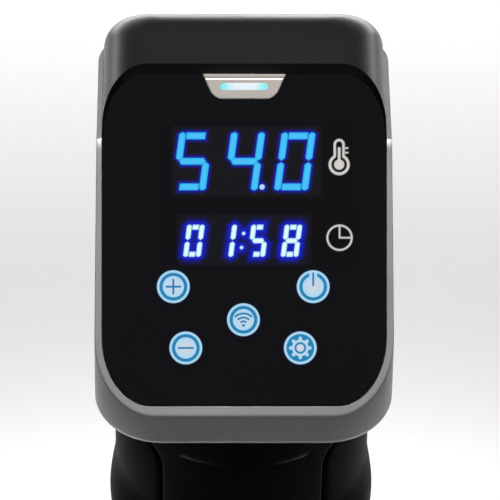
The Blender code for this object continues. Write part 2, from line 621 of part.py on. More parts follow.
def handle():
    levels = [HANDLE_BOTTOM_Z, (HANDLE_BOTTOM_Z + BULGE_Z) / 2, BULGE_Z, (BULGE_Z + NECK_Z) / 2,
              NECK_Z, HANDLE_TOP_Z]
    around = 32
    rings = [[handle_point(z, 2 * math.pi * i / around, COVER_SKIN) for i in range(around)] for z in levels]
    core = loft("handle_core", rings, "satin_black")
    inner_levels = [HANDLE_BOTTOM_Z - MM, BULGE_Z, NECK_Z, HANDLE_TOP_Z - HEAD_FLANGE]
    inner = [[handle_point(z, 2 * math.pi * i / around, COVER_SKIN + CORE_WALL) for i in range(around)]
             for z in inner_levels]
    boolean(core, loft("core_hollow", inner))
    boolean(core, rod("core_top_hole", HEAD_FLANGE_BORE, (0, 0, HANDLE_TOP_Z - 2 * HEAD_FLANGE),
                      (0, 0, HANDLE_TOP_Z + MM), sides=36))
    shell = bpy.data.objects["head_shell"]
    for i, name in enumerate(("head_screw_rear", "head_screw_left", "head_screw_right")):
        angle = math.radians(90 + 120 * i)
        x, y = HEAD_SCREW_CIRCLE * math.cos(angle), HEAD_SCREW_CIRCLE * math.sin(angle)
        hole = rod("head_screw_hole", FIXING_RADIUS + GAP, (x, y, HANDLE_TOP_Z - HEAD_FLANGE - MM),
                   (x, y, SHELL_BOTTOM_Z + SHELL_FLOOR + MM), sides=16)
        boolean(core, hole)
        boolean(shell, hole)
        seat = SHELL_BOTTOM_Z + SHELL_FLOOR + GAP
        head_top, tip = seat + SCREW_HEAD, seat - HEAD_SCREW_LENGTH
        turned(name, [(0, head_top), (SCREW_HEAD_RADIUS, head_top), (SCREW_HEAD_RADIUS, seat),
                      (FIXING_RADIUS, seat), (FIXING_RADIUS, tip), (0, tip)],
               "steel", 16, ring=False).location = (x, y, 0)

    side_half = (2 * math.pi - 2 * FRONT_COVER_HALF - 2 * REAR_COVER_HALF) / 4
    split = GAP / NECK_HALF_WIDTH
    sector("handle_front_cover", 0, lambda z: FRONT_COVER_HALF - split, "gloss_black", 12, levels)
    rear = sector("handle_rear_cover", math.pi, lambda z: REAR_COVER_HALF - split, "satin_black", 10, levels)
    grip_centre = FRONT_COVER_HALF + side_half
    sector("grip_right", grip_centre, lambda z: side_half - split, "dark_rubber", 14, levels)
    sector("grip_left", -grip_centre, lambda z: side_half - split, "dark_rubber", 14, levels)
    skin_y = NECK_HALF_WIDTH * HANDLE_DEPTH_RATIO
    pad = box("clamp_seat", (-CLAMP_WIDTH / 2, skin_y - COVER_SKIN / 2, SEAT_BOTTOM_Z),
              (CLAMP_WIDTH / 2, CLAMP_PLATE_Y - GAP, CLAMP_TOP_Z - MM))
    boolean(rear, pad, "UNION")
    for z in FIXING_Z:
        hole = rod("fixing_hole", FIXING_RADIUS + GAP, (0, skin_y - FIXING_LENGTH, z),
                   (0, CLAMP_PLATE_Y + CLAMP_PLATE, z), sides=16)
        boolean(rear, hole)
        boolean(core, hole)


def drive():
    ring_z = SLEEVE_TOP_Z + GAP
    flange_top = ring_z + FLANGE_THICKNESS
    bore = SHAFT_RADIUS + GAP
    inner = SLEEVE_RADIUS - SLEEVE_WALL
    spigot = inner - 2 * SEAL_SECTION - 2 * GAP
    flange = turned("tube_flange", [
        (SLEEVE_RADIUS - MM, flange_top), (SLEEVE_RADIUS - MM, ring_z), (spigot, ring_z),
        (spigot, FLANGE_SPIGOT_BOTTOM_Z), (bore, FLANGE_SPIGOT_BOTTOM_Z), (bore, flange_top)], "steel")
    below, above = FLANGE_SPIGOT_BOTTOM_Z - MM, flange_top + MM
    passing = [rod("flange_hole", radius + GAP, (x, y, below), (x, y, above), sides=16)
               for x, y, radius in [(COIL_RADIUS, 0, COIL_WIRE), (-RETURN_LEG_RADIUS, 0, COIL_WIRE),
                                    (*PROBE_AT, PROBE_RADIUS)]
               + [(x, y, ROD_RADIUS) for x, y, z in ELECTRODES.values()]]
    boolean(flange, cutter_group("flange_holes", passing))
    seal_r = spigot + GAP + SEAL_SECTION
    seal_z = ring_z - 3 * MM
    turned("flange_seal_ring", [(seal_r + SEAL_SECTION * math.cos(a), seal_z - SEAL_SECTION * math.sin(a))
                                for a in [math.radians(60 * i) for i in range(6)]], "dark_rubber")
    turned("locking_collar", [
        (COLLAR_RADIUS - 0.6 * MM, HANDLE_BOTTOM_Z - GAP), (COLLAR_RADIUS, HANDLE_BOTTOM_Z - MM),
        (COLLAR_RADIUS, COLLAR_BOTTOM_Z + 2 * MM), (COLLAR_RADIUS - 1.2 * MM, COLLAR_BOTTOM_Z),
        (SLEEVE_RADIUS + GAP, COLLAR_BOTTOM_Z), (SLEEVE_RADIUS + GAP, HANDLE_BOTTOM_Z - GAP)],
        "satin_black", 40)

    coil_and_sensors()
    rod("drive_shaft", SHAFT_RADIUS, (0, 0, SHAFT_BOTTOM_Z),
        (0, 0, COUPLING_BOTTOM_Z + COUPLING_HEIGHT / 2 - GAP), "steel", 16)
    tube("shaft_coupling", bore, COUPLING_RADIUS, COUPLING_BOTTOM_Z,
         COUPLING_BOTTOM_Z + COUPLING_HEIGHT, "white_plastic", 20)
    tube("shaft_seal", bore, SHAFT_SEAL_RADIUS, flange_top + GAP, flange_top + SHAFT_SEAL_HEIGHT,
         "dark_rubber", 24)
    guide_top = GUIDE_Z + GUIDE_THICKNESS
    guide = tube("shaft_guide", GUIDE_BORE, GUIDE_RADIUS, GUIDE_Z, guide_top, "white_plastic")
    openings = []
    for i in range(GUIDE_OPENINGS):
        angle = math.radians(15 + 360 * i / GUIDE_OPENINGS)
        x, y = GUIDE_OPENING_CIRCLE * math.cos(angle), GUIDE_OPENING_CIRCLE * math.sin(angle)
        openings.append(rod("guide_opening", GUIDE_OPENING_RADIUS, (x, y, GUIDE_Z - MM), (x, y, guide_top + MM),
                            sides=16))
    boolean(guide, cutter_group("guide_openings", openings))
    bush = GUIDE_BORE - GAP
    bush_wide = GUIDE_BORE + BUSH_COLLAR
    bush_top, bush_bottom = guide_top + BUSH_OVERHANG, GUIDE_Z - BUSH_OVERHANG
    turned("lower_bush", [(bush, bush_top), (bush, GUIDE_Z - GAP), (bush_wide, GUIDE_Z - GAP),
                          (bush_wide, bush_bottom), (bore, bush_bottom), (bore, bush_top)], "copper", 24)
    for name, (x, y) in RODS.items():
        rod(name, ROD_RADIUS, (x, y, guide_top + GAP), (x, y, FLANGE_SPIGOT_BOTTOM_Z - GAP), "steel", 12)
    impeller(bore)

    bracket_top = MOTOR_BOTTOM_Z - GAP
    bracket_in = COIL_RADIUS + COIL_WIRE + 2 * GAP
    bracket_out = bracket_in + BRACKET_WALL
    shelf, opening = bracket_top - BRACKET_WALL, COUPLING_RADIUS + MM
    turned("motor_bracket", [
        (bracket_out, bracket_top), (bracket_out, flange_top + GAP), (bracket_in, flange_top + GAP),
        (bracket_in, shelf), (opening, shelf), (opening, bracket_top)], "grey_plastic", 32)
    top = MOTOR_BOTTOM_Z + MOTOR_HEIGHT
    can_in = MOTOR_RADIUS - MOTOR_WALL
    turned("motor_can", [
        (MOTOR_RADIUS, top), (MOTOR_RADIUS, MOTOR_BOTTOM_Z), (can_in, MOTOR_BOTTOM_Z),
        (can_in, top - MOTOR_WALL), (bore, top - MOTOR_WALL), (bore, top)], "steel", 32)
    low, high = MOTOR_BOTTOM_Z + MAGNET_INSET[0], top - MAGNET_INSET[1]
    magnet_in = can_in - GAP - MAGNET
    tube("magnet_ring", magnet_in, can_in - GAP, low, high, "dark_rubber", 32)
    tube("motor_rotor", bore, magnet_in - 2 * GAP, low, high, "copper", 28)
    rod("motor_shaft", SHAFT_RADIUS, (0, 0, COUPLING_BOTTOM_Z + COUPLING_HEIGHT / 2 + GAP),
        (0, 0, FAN_Z + FAN_HEIGHT + 2 * MM), "steel", 16)
    cooling_fan(bore)


def cooling_fan(bore):
    fan = tube("cooling_fan", bore, FAN_HUB, FAN_Z, FAN_Z + FAN_HEIGHT, "grey_plastic", 24)
    middle = Matrix.Translation((0, 0, FAN_Z + FAN_HEIGHT / 2))
    for i in range(FAN_BLADES):
        blade = box("fan_blade", (FAN_HUB - MM, -BLADE / 2, MM - FAN_HEIGHT / 2),
                    (FAN_RADIUS, BLADE / 2, FAN_HEIGHT / 2 - MM))
        blade.data.transform(middle @ Matrix.Rotation(2 * math.pi * i / FAN_BLADES, 4, "Z")
                             @ Matrix.Rotation(math.radians(BLADE_PITCH), 4, "X"))
        boolean(fan, blade, "UNION")


def coil_and_sensors():
    """The heater is one bent rod: a leg down, the turns, and a return leg up the middle."""
    per_turn = 14
    points = [(COIL_RADIUS, 0, LEG_TOP_Z), (COIL_RADIUS, 0, COIL_TOP_Z + 4 * MM)]
    steps = int((COIL_TURNS + 0.5) * per_turn)
    for i in range(steps + 1):
        angle = 2 * math.pi * i / per_turn
        z = COIL_TOP_Z - COIL_PITCH * i / per_turn
        points.append((COIL_RADIUS * math.cos(angle), COIL_RADIUS * math.sin(angle), z))
    end_z = points[-1][2]
    bend = (COIL_RADIUS - RETURN_LEG_RADIUS) / 2
    for turn in (30, 90, 150, 180):
        angle = math.radians(turn)
        points.append((-COIL_RADIUS + bend - bend * math.cos(angle), 0.6 * bend * math.sin(angle),
                       end_z - 2 * MM + 6 * MM * turn / 180))
    points.append((-RETURN_LEG_RADIUS, 0, LEG_TOP_Z))
    curve = bpy.data.curves.new("heater_coil", "CURVE")
    curve.dimensions = "3D"
    curve.bevel_depth = COIL_WIRE
    curve.bevel_resolution = 2
    curve.use_fill_caps = True
    spline = curve.splines.new("POLY")
    spline.points.add(len(points) - 1)
    for point, place_at in zip(spline.points, points):
        point.co = (*place_at, 1)
    coil = bpy.data.objects.new("heater_coil", curve)
    parts.objects.link(coil)
    curve.materials.append(finish("steel"))
    rod("temperature_probe", PROBE_RADIUS, (*PROBE_AT, PROBE_TIP_Z), (*PROBE_AT, LEG_TOP_Z), "steel", 16)
    for name, (x, y, z) in ELECTRODES.items():
        rod(name, ROD_RADIUS, (x, y, z), (x, y, LEG_TOP_Z), "steel", 12)


def impeller(bore):
    low = SHAFT_BOTTOM_Z + 2 * MM
    high = low + IMPELLER_HEIGHT
    disc = low + IMPELLER_DISC
    wheel = turned("impeller", [(IMPELLER_HUB, high), (IMPELLER_HUB, disc), (IMPELLER_RADIUS, disc),
                                (IMPELLER_RADIUS, low), (bore, low), (bore, high)], "grey_plastic", 32)
    for i in range(VANES):
        vane = box("vane", (IMPELLER_HUB - MM, -VANE / 2, low + MM),
                   (IMPELLER_RADIUS - 0.5 * MM, VANE / 2, high - MM))
        vane.data.transform(Matrix.Rotation(2 * math.pi * i / VANES, 4, "Z"))
        boolean(wheel, vane, "UNION")


def slots(name, count, inner, outer, low, high, turn=0.0):
    """A ring of upright slot cutters that stop short of the middle."""
    cut = []
    for i in range(count):
        one = box("slot", (inner, -SLOT_WIDTH / 2, low), (outer, SLOT_WIDTH / 2, high))
        one.data.transform(Matrix.Rotation(math.radians(turn + 360 * i / count), 4, "Z"))
        cut.append(one)
    return cutter_group(name, cut)


def sleeve_and_cap():
    sleeve = tube("steel_sleeve", SLEEVE_RADIUS - SLEEVE_WALL, SLEEVE_RADIUS, SLEEVE_BOTTOM_Z,
                  SLEEVE_TOP_Z, "steel", 40)
    reach = REACH
    boolean(sleeve, slots("sleeve_slots", SLEEVE_SLOTS, SLEEVE_RADIUS - reach, SLEEVE_RADIUS + reach,
                          SLEEVE_BOTTOM_Z + SLEEVE_SLOT_RISE[0], SLEEVE_BOTTOM_Z + SLEEVE_SLOT_RISE[1], 15))
    spigot_out = SLEEVE_RADIUS - SLEEVE_WALL - GAP
    spigot_in = spigot_out - 1.6 * MM
    inner = CAP_RADIUS - CAP_WALL
    cap = turned("bottom_cap", [
        (0, CAP_WALL), (inner, CAP_WALL), (inner, CAP_HEIGHT - 3 * MM), (spigot_in, CAP_HEIGHT - MM),
        (spigot_in, CAP_HEIGHT + SPIGOT), (spigot_out, CAP_HEIGHT + SPIGOT), (spigot_out, CAP_HEIGHT),
        (CAP_RADIUS, CAP_HEIGHT), (CAP_RADIUS, 2 * MM), (CAP_RADIUS - 2 * MM, 0), (0, 0)],
        "satin_black", 40, ring=False)
    boolean(cap, slots("cap_slots", CAP_SLOTS, inner - reach, CAP_RADIUS + reach, *CAP_SLOT_Z))


def clamp():
    plate_back = CLAMP_PLATE_Y + CLAMP_PLATE
    outer_in = plate_back + CLAMP_MOUTH
    outer_out = outer_in + CLAMP_OUTER
    bridge_top = CLAMP_BRIDGE_Z + CLAMP_BRIDGE
    corner, inner = CLAMP_CORNER, CLAMP_INNER_CORNER
    outline = [(CLAMP_PLATE_Y, CLAMP_BOTTOM_Z), (plate_back, CLAMP_BOTTOM_Z)]
    outline += arc((plate_back + inner, CLAMP_BRIDGE_Z - inner), inner, 180, 90, 3)
    outline += arc((outer_in - inner, CLAMP_BRIDGE_Z - inner), inner, 90, 0, 3)
    outline += [(outer_in, CLAMP_BOTTOM_Z), (outer_out, CLAMP_BOTTOM_Z)]
    outline += arc((outer_out - corner, bridge_top - corner), corner, 0, 90, 5)
    outline += [(plate_back + inner, bridge_top), (plate_back, bridge_top + inner),
                (plate_back, CLAMP_TOP_Z), (CLAMP_PLATE_Y, CLAMP_TOP_Z)]
    bracket = side_plate("clamp_bracket", outline, CLAMP_WIDTH / 2, "satin_black")
    boolean(bracket, rod("screw_bore", CLAMP_SCREW_RADIUS + GAP, (0, outer_in - REACH, CLAMP_SCREW_Z),
                         (0, outer_out + REACH, CLAMP_SCREW_Z), sides=20))
    for z in FIXING_Z:
        boolean(bracket, rod("bracket_hole", FIXING_RADIUS + GAP, (0, CLAMP_PLATE_Y - MM, z),
                             (0, plate_back + MM, z), sides=16))
    for name, z in zip(("bracket_screw_low", "bracket_screw_high"), FIXING_Z):
        head = plate_back + GAP
        screw = turned(name, [(0, 0), (FIXING_HEAD_RADIUS, 0), (FIXING_HEAD_RADIUS, -FIXING_HEAD),
                              (FIXING_RADIUS, -FIXING_HEAD), (FIXING_RADIUS, -FIXING_LENGTH),
                              (0, -FIXING_LENGTH)], "steel", 16, ring=False)
        screw.rotation_euler = (math.radians(-90), 0, 0)
        screw.location = (0, head + FIXING_HEAD, z)
    jaw = plate_back + GAP + JAW_PAD
    box("clamp_jaw_pad", (-CLAMP_WIDTH / 2 + MM, plate_back + GAP, CLAMP_BOTTOM_Z + MM),
        (CLAMP_WIDTH / 2 - MM, jaw, CLAMP_BRIDGE_Z - JAW_PAD_SHORT), "dark_rubber", 0.5 * MM)

    face = jaw + PRESSURE_PAD_GAP
    pad_back = face + PRESSURE_PAD
    tip = pad_back - PAD_SOCKET
    pad = rod("clamp_pressure_pad", PRESSURE_PAD_RADIUS, (0, face, CLAMP_SCREW_Z), (0, pad_back, CLAMP_SCREW_Z),
              "dark_rubber", 28)
    boolean(pad, rod("pad_socket", CLAMP_SCREW_RADIUS + GAP, (0, tip - GAP, CLAMP_SCREW_Z),
                     (0, pad_back + MM, CLAMP_SCREW_Z), sides=20))
    knob_start = outer_out + KNOB_STANDOFF
    rod("clamp_screw", CLAMP_SCREW_RADIUS, (0, tip, CLAMP_SCREW_Z), (0, knob_start + KNOB_BORE, CLAMP_SCREW_Z),
        "steel", 20)
    lobes = []
    steps = 8 * KNOB_LOBES
    for i in range(steps):
        angle = 2 * math.pi * i / steps
        radius = KNOB_RADIUS - KNOB_LOBE_DEPTH / 2 * (1 - math.cos(KNOB_LOBES * angle))
        lobes.append((radius * math.cos(angle), radius * math.sin(angle)))
    knob = plate("clamp_knob", lobes, 0, KNOB_LENGTH, "satin_black")
    knob.rotation_euler = (math.radians(-90), 0, 0)
    knob.location = (0, knob_start, CLAMP_SCREW_Z)
    bore = rod("knob_bore", CLAMP_SCREW_RADIUS + GAP, (0, knob_start - MM, CLAMP_SCREW_Z),
               (0, knob_start + KNOB_BORE + GAP, CLAMP_SCREW_Z), sides=20)
    boolean(knob, bore)


head()
top_cover()
electronics()
handle()
drive()
sleeve_and_cap()
clamp()
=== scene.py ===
import math

import bmesh
import bpy
import numpy as np
from mathutils import Matrix, Vector


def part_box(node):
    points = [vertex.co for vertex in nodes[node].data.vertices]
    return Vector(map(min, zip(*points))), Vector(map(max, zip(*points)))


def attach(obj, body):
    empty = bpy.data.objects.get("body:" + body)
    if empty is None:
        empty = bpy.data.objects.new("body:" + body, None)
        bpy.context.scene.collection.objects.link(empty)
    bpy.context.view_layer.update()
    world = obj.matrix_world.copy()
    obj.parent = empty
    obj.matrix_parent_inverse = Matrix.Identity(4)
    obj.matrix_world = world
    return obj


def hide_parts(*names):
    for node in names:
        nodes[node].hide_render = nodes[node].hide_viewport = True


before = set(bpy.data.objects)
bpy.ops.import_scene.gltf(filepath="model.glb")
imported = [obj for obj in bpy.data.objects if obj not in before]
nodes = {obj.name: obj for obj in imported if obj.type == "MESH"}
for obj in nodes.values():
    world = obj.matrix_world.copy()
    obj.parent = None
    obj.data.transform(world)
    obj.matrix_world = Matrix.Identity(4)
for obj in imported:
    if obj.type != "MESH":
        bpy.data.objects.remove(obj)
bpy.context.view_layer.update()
mm = 0.001
tau = 2 * math.pi


# sRGB hex text to a linear colour.
def linear(hexText):
    parts = [int(hexText[i:i + 2], 16) / 255 for i in (1, 3, 5)]
    return [c / 12.92 if c <= 0.04045 else ((c + 0.055) / 1.055) ** 2.4 for c in parts]


def opaque(hexText):
    return (*linear(hexText), 1)


def light(hexText):
    return np.array(linear(hexText))


# One shader node with its settings (properties or input values) and the outputs it takes.
def addNode(tree, kind, settings=None, links=None):
    node = tree.nodes.new(kind)
    for key, value in (settings or {}).items():
        if isinstance(key, str) and hasattr(node, key):
            setattr(node, key, value)
        else:
            node.inputs[key].default_value = value
    for key, source in (links or {}).items():
        tree.links.new(source, node.inputs[key])
    return node


# An empty Principled material with its uniform values set on the shader.
def newMaterial(name, values):
    material = bpy.data.materials.new(name)
    material.use_nodes = True
    tree = material.node_tree
    shader = tree.nodes["Principled BSDF"]
    for key, value in values.items():
        shader.inputs[key].default_value = value
    return material, tree, shader


# Moulded or finished surface: two tones in soft patches, uneven roughness, and a grain in relief. grain
# is the size in metres of the relief's features, and relief its depth.
def surfaced(name, colour, darker, roughness, spread, grain, relief, metallic=0.0, stretch=(1, 1, 1),
             **values):
    material, tree, shader = newMaterial(name, {"Metallic": metallic, **values})
    coords = addNode(tree, "ShaderNodeTexCoord")
    placed = addNode(tree, "ShaderNodeMapping", {"Scale": stretch}, {"Vector": coords.outputs["Object"]})
    patches = addNode(tree, "ShaderNodeTexNoise", {"Scale": 45.0, "Detail": 3.0},
                      {"Vector": coords.outputs["Object"]})
    fine = addNode(tree, "ShaderNodeTexNoise", {"Scale": 1 / grain, "Detail": 2.0, "Roughness": 0.6},
                   {"Vector": placed.outputs["Vector"]})
    tone = addNode(tree, "ShaderNodeMix", {"data_type": "RGBA"}, {"Factor": patches.outputs["Fac"]})
    tone.inputs[6].default_value = opaque(colour)
    tone.inputs[7].default_value = opaque(darker)
    both = addNode(tree, "ShaderNodeMath", {"operation": "MULTIPLY_ADD", 1: 0.5},
                   {0: fine.outputs["Fac"], 2: patches.outputs["Fac"]})
    uneven = addNode(tree, "ShaderNodeMapRange", {"From Min": 0.4, "From Max": 1.1,
                     "To Min": max(roughness - spread, 0.02), "To Max": roughness + spread},
                     {"Value": both.outputs["Value"]})
    bump = addNode(tree, "ShaderNodeBump", {"Strength": 1.0, "Distance": relief},
                   {"Height": fine.outputs["Fac"]})
    tree.links.new(tone.outputs[2], shader.inputs["Base Color"])
    tree.links.new(uneven.outputs["Result"], shader.inputs["Roughness"])
    tree.links.new(bump.outputs["Normal"], shader.inputs["Normal"])
    return material


# Polished black acrylic over printed windows; what is lit behind it is in the piece's glow attribute.
def litPrint(name, strength):
    material, tree, shader = newMaterial(name, {"Base Color": opaque("#050506"),
                                                "Emission Strength": strength, "IOR": 1.42})
    glow = addNode(tree, "ShaderNodeAttribute", {"attribute_name": "glow"})
    coords = addNode(tree, "ShaderNodeTexCoord")
    haze = addNode(tree, "ShaderNodeTexNoise", {"Scale": 60.0, "Detail": 4.0},
                   {"Vector": coords.outputs["Object"]})
    uneven = addNode(tree, "ShaderNodeMapRange", {"To Min": 0.08, "To Max": 0.17},
                     {"Value": haze.outputs["Fac"]})
    tree.links.new(glow.outputs["Color"], shader.inputs["Emission Color"])
    tree.links.new(uneven.outputs["Result"], shader.inputs["Roughness"])
    return material


# silver lacquer over a moulded shell: a fine metal flake under satin lacquer
silverLacquer = surfaced("silverLacquer", "#8d8b8c", "#858385", 0.40, 0.04, 0.25 * mm, 0.004 * mm,
                         metallic=0.85)
# spark-eroded moulded ABS: dark, evenly satin, with a fine leathery grain
satinAbs = surfaced("satinMouldedAbs", "#0e0e10", "#0b0b0d", 0.36, 0.05, 0.35 * mm, 0.006 * mm, IOR=1.32)
# finely finished mould with a dark low sheen, so that it reads as the deepest black
polishedAbs = surfaced("lowSheenBlackAbs", "#040305", "#060507", 0.3, 0.06, 1.2 * mm, 0.002 * mm, IOR=1.08)
# over-moulded elastomer: matt and slightly dusty, soft to the touch
softGrip = surfaced("softTouchElastomer", "#070708", "#050506", 0.4, 0.06, 0.3 * mm, 0.008 * mm, IOR=1.06)
rubber = surfaced("mouldedRubber", "#161617", "#1c1c1e", 0.7, 0.08, 0.5 * mm, 0.02 * mm)
# glass-filled nylon: matt grey-black with a coarser texture
nylon = surfaced("glassFilledNylon", "#1d1d20", "#232327", 0.52, 0.07, 0.45 * mm, 0.02 * mm)
# fine anodised strip, brushed across in lines about 0.17 mm apart
paleAnodised = surfaced("paleAnodisedStrip", "#87827d", "#7f7a74", 0.42, 0.06, 0.5 * mm, 0.003 * mm,
                        metallic=0.35, stretch=(0.2, 3, 3))
# drawn stainless tube polished round its girth, in fine lines that run round it
brushedTube = surfaced("brushedStainlessTube", "#bdbbb7", "#aeaca9", 0.27, 0.07, 1.4 * mm, 0.004 * mm,
                       metallic=1.0, stretch=(0.6, 0.6, 9))
turnedSteel = surfaced("turnedStainless", "#b5b3b0", "#a3a19e", 0.24, 0.06, 0.6 * mm, 0.003 * mm,
                       metallic=1.0)
# heater sheath: stainless dulled and slightly straw-tinted by heat and lime
heaterSheath = surfaced("heatTintedSheath", "#a79a86", "#8b8378", 0.36, 0.1, 0.9 * mm, 0.012 * mm,
                        metallic=1.0)
bronze = surfaced("sinteredBronze", "#9c7443", "#8a6238", 0.45, 0.08, 0.25 * mm, 0.01 * mm, metallic=1.0)
acetal = surfaced("naturalAcetal", "#dddcd4", "#d2d1c9", 0.42, 0.05, 0.5 * mm, 0.005 * mm)
greyPlastic = surfaced("greyMouldedPolymer", "#56575c", "#4d4e53", 0.48, 0.06, 0.4 * mm, 0.01 * mm)
solderMask = surfaced("greenSolderMask", "#1d5a36", "#17482b", 0.34, 0.08, 1.5 * mm, 0.01 * mm)
# black acrylic panel, polished: a deep gloss with a trace of finger haze
panelAcrylic = surfaced("polishedBlackAcrylic", "#060607", "#070708", 0.1, 0.05, 6 * mm, 0.0002 * mm,
                        IOR=1.42)
litWindow = litPrint("litAcrylicWindow", 1.0)
print("materials made")


# Gives a mesh its finish and hands it to the frame.
def handedOver(name, mesh, material, smooth, body, replaces):
    mesh.shade_smooth()
    mesh.set_sharp_from_angle(angle=math.radians(smooth))
    mesh.materials.append(material)
    piece = bpy.data.objects.new(name, mesh)
    bpy.context.scene.collection.objects.link(piece)
    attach(piece, body)
    if replaces:
        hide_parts(*replaces)
    return piece


# Puts computed points and faces into a mesh, closes it, points it outwards and hands it to the frame.
def addPiece(name, points, faces, material, body="root", replaces=(), slot=None, smooth=35, glow=None,
             merge=True):
    mesh = bpy.data.meshes.new(name)
    mesh.from_pydata(np.asarray(points, float).reshape(-1, 3), [], faces)
    if glow is not None:
        colours = np.ones((len(mesh.vertices), 4), np.float32)
        colours[:len(glow), :3] = glow
        colours[len(glow):, :3] = 0
        mesh.attributes.new("glow", "FLOAT_COLOR", "POINT").data.foreach_set("color", colours.ravel())
    shape = bmesh.new()
    shape.from_mesh(mesh)
    if merge:
        bmesh.ops.remove_doubles(shape, verts=shape.verts, dist=1e-6)
    bmesh.ops.recalc_face_normals(shape, faces=shape.faces)
    shape.to_mesh(mesh)
    shape.free()
    return handedOver(name, mesh, material, smooth, body, replaces)


# Quads of a grid of points, rows by columns, closed either way round when asked.
def gridFaces(rows, columns, wrapRows=False, wrapColumns=False, start=0):
    r = np.arange(rows if wrapRows else rows - 1)[:, None]
    c = np.arange(columns if wrapColumns else columns - 1)[None, :]
    r2, c2 = (r + 1) % rows, (c + 1) % columns
    quads = np.stack([r * columns + c, r * columns + c2, r2 * columns + c2, r2 * columns + c], -1)
    return (quads.reshape(-1, 4) + start).tolist()


# Indices round the edge of a grid, in order.
def boundary(rows, columns):
    top = np.arange(columns)
    right = np.arange(1, rows) * columns + columns - 1
    bottom = (rows - 1) * columns + np.arange(columns - 2, -1, -1)
    left = np.arange(rows - 2, 0, -1) * columns
    return np.concatenate([top, right, bottom, left])


# A closed slab: the grid on top, its edge dropped to the lowered copy's edge, and one face below.
def slabFromGrid(grid, lowered):
    rows, columns = grid.shape[:2]
    edge = boundary(rows, columns)
    top = grid.reshape(-1, 3)
    low = lowered.reshape(-1, 3)[edge]
    count, first = len(edge), len(top)
    faces = gridFaces(rows, columns)
    i = np.arange(count)
    j = (i + 1) % count
    faces += np.stack([edge[j], edge[i], first + i, first + j], -1).tolist()
    faces.append((first + i).tolist())
    return np.concatenate([top, low]), faces


# A closed curved plate between two grids of the same shape, joined along their edges.
def shellFromGrids(outer, inner):
    rows, columns = outer.shape[:2]
    size = rows * columns
    edge = boundary(rows, columns)
    faces = gridFaces(rows, columns) + [f[::-1] for f in gridFaces(rows, columns, start=size)]
    i = edge
    j = np.roll(edge, -1)
    faces += np.stack([j, i, size + i, size + j], -1).tolist()
    return np.concatenate([outer.reshape(-1, 3), inner.reshape(-1, 3)]), faces


# A profile of (radius, height) rows turned about an axis: x = r cos a, y = r sin a; ripple adds to r.
def turnedPiece(name, profile, material, count=96, centre=(0, 0, 0), along="z", ripple=None, ring=False,
                **handed):
    rows = np.array(profile, float)
    angle = np.arange(count) / count * tau
    radius = rows[:, :1] + np.zeros((1, count))
    height = rows[:, 1:2] + np.zeros((1, count))
    if ripple is not None:
        radius = np.maximum(radius + ripple(angle[None, :], height, radius), 0)
    across, other = radius * np.cos(angle), radius * np.sin(angle)
    if along == "z":
        grid = np.stack([across, other, height], -1)
    else:
        grid = np.stack([across, height, -other], -1)
    grid = grid + np.array(centre)
    faces = gridFaces(len(rows), count, wrapRows=ring, wrapColumns=True)
    return addPiece(name, grid.reshape(-1, 3), faces, material, **handed)


# A profile with its corners eased: each corner becomes a short quadratic curve.
def filletRows(points, radius, steps=4):
    points = [np.array(p, float) for p in points]
    rows = [points[0]]
    for before, here, after in zip(points, points[1:], points[2:]):
        first = here + (before - here) * min(radius / max(np.linalg.norm(before - here), 1e-9), 0.45)
        last = here + (after - here) * min(radius / max(np.linalg.norm(after - here), 1e-9), 0.45)
        for t in np.linspace(0, 1, steps + 1):
            rows.append((1 - t) ** 2 * first + 2 * t * (1 - t) * here + t ** 2 * last)
    rows.append(points[-1])
    return rows


# Points added along a profile, so that its steps are about as long as the one asked for.
def stepped(points, length):
    points = [np.array(p, float) for p in points]
    rows = []
    for a, b in zip(points, points[1:]):
        count = max(int(np.linalg.norm(b - a) / length), 1)
        rows += [a + (b - a) * k / count for k in range(count)]
    return rows


# The middle of a node's box.
def middleOf(name):
    return [(a + b) / 2 for a, b in zip(*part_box(name))]


# A copy of a plain solid with its edges eased by a bevel.
def softenedCopy(node, material, body="root", width=0.4 * mm, angle=32, segments=3):
    source = nodes[node]
    shape = bmesh.new()
    shape.from_mesh(source.data)
    bmesh.ops.remove_doubles(shape, verts=shape.verts, dist=2e-6)
    bmesh.ops.dissolve_limit(shape, angle_limit=math.radians(1.0), verts=shape.verts, edges=shape.edges)
    mesh = bpy.data.meshes.new(node + "_skin")
    shape.to_mesh(mesh)
    shape.free()
    mesh.materials.clear()
    piece = handedOver(node + "_skin", mesh, material, angle + 8, body, [node])
    if width:
        bevel = piece.modifiers.new("easedEdges", "BEVEL")
        bevel.width = width
        bevel.segments = segments
        bevel.limit_method = "ANGLE"
        bevel.angle_limit = math.radians(angle)


# from -1 to 1, the steps closing up towards both ends
def bunched(count):
    return np.sin(np.linspace(-math.pi / 2, math.pi / 2, count))


# how far a quarter-round edge has dropped: 1 on the border, 0 where near reaches 1
def roundOver(near):
    return 1 - np.sqrt(1 - (1 - near) ** 2)


def smoothstep(low, high, value):
    t = np.clip((value - low) / (high - low), 0, 1)
    return t * t * (3 - 2 * t)


# where the head's planes are, from the frame
panelLow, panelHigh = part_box("control_panel")
shellLow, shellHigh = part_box("head_shell")
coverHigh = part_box("top_cover")[1]
panelRun = panelHigh.y - panelLow.y
panelMiddle = np.array([0, panelLow.y + panelRun / 2, panelHigh.z - panelRun / 2])
halfSlope = panelRun / math.sqrt(2)
upSlope = np.array([0, 1, 1]) / math.sqrt(2)
outward = np.array([0, -1, 1]) / math.sqrt(2)
topZ = coverHigh.z
partingZ = shellHigh.z
slopeShift = panelHigh.z - panelHigh.y  # on the panel's face, z = y + slopeShift


# Points from the panel's own axes: x across, v up the slope, n out of its face.
def onPanel(x, v, n):
    x, v, n = np.broadcast_arrays(x, v, n)
    across = x[..., None] * np.array([1.0, 0, 0])
    return panelMiddle + across + v[..., None] * upSlope + n[..., None] * outward


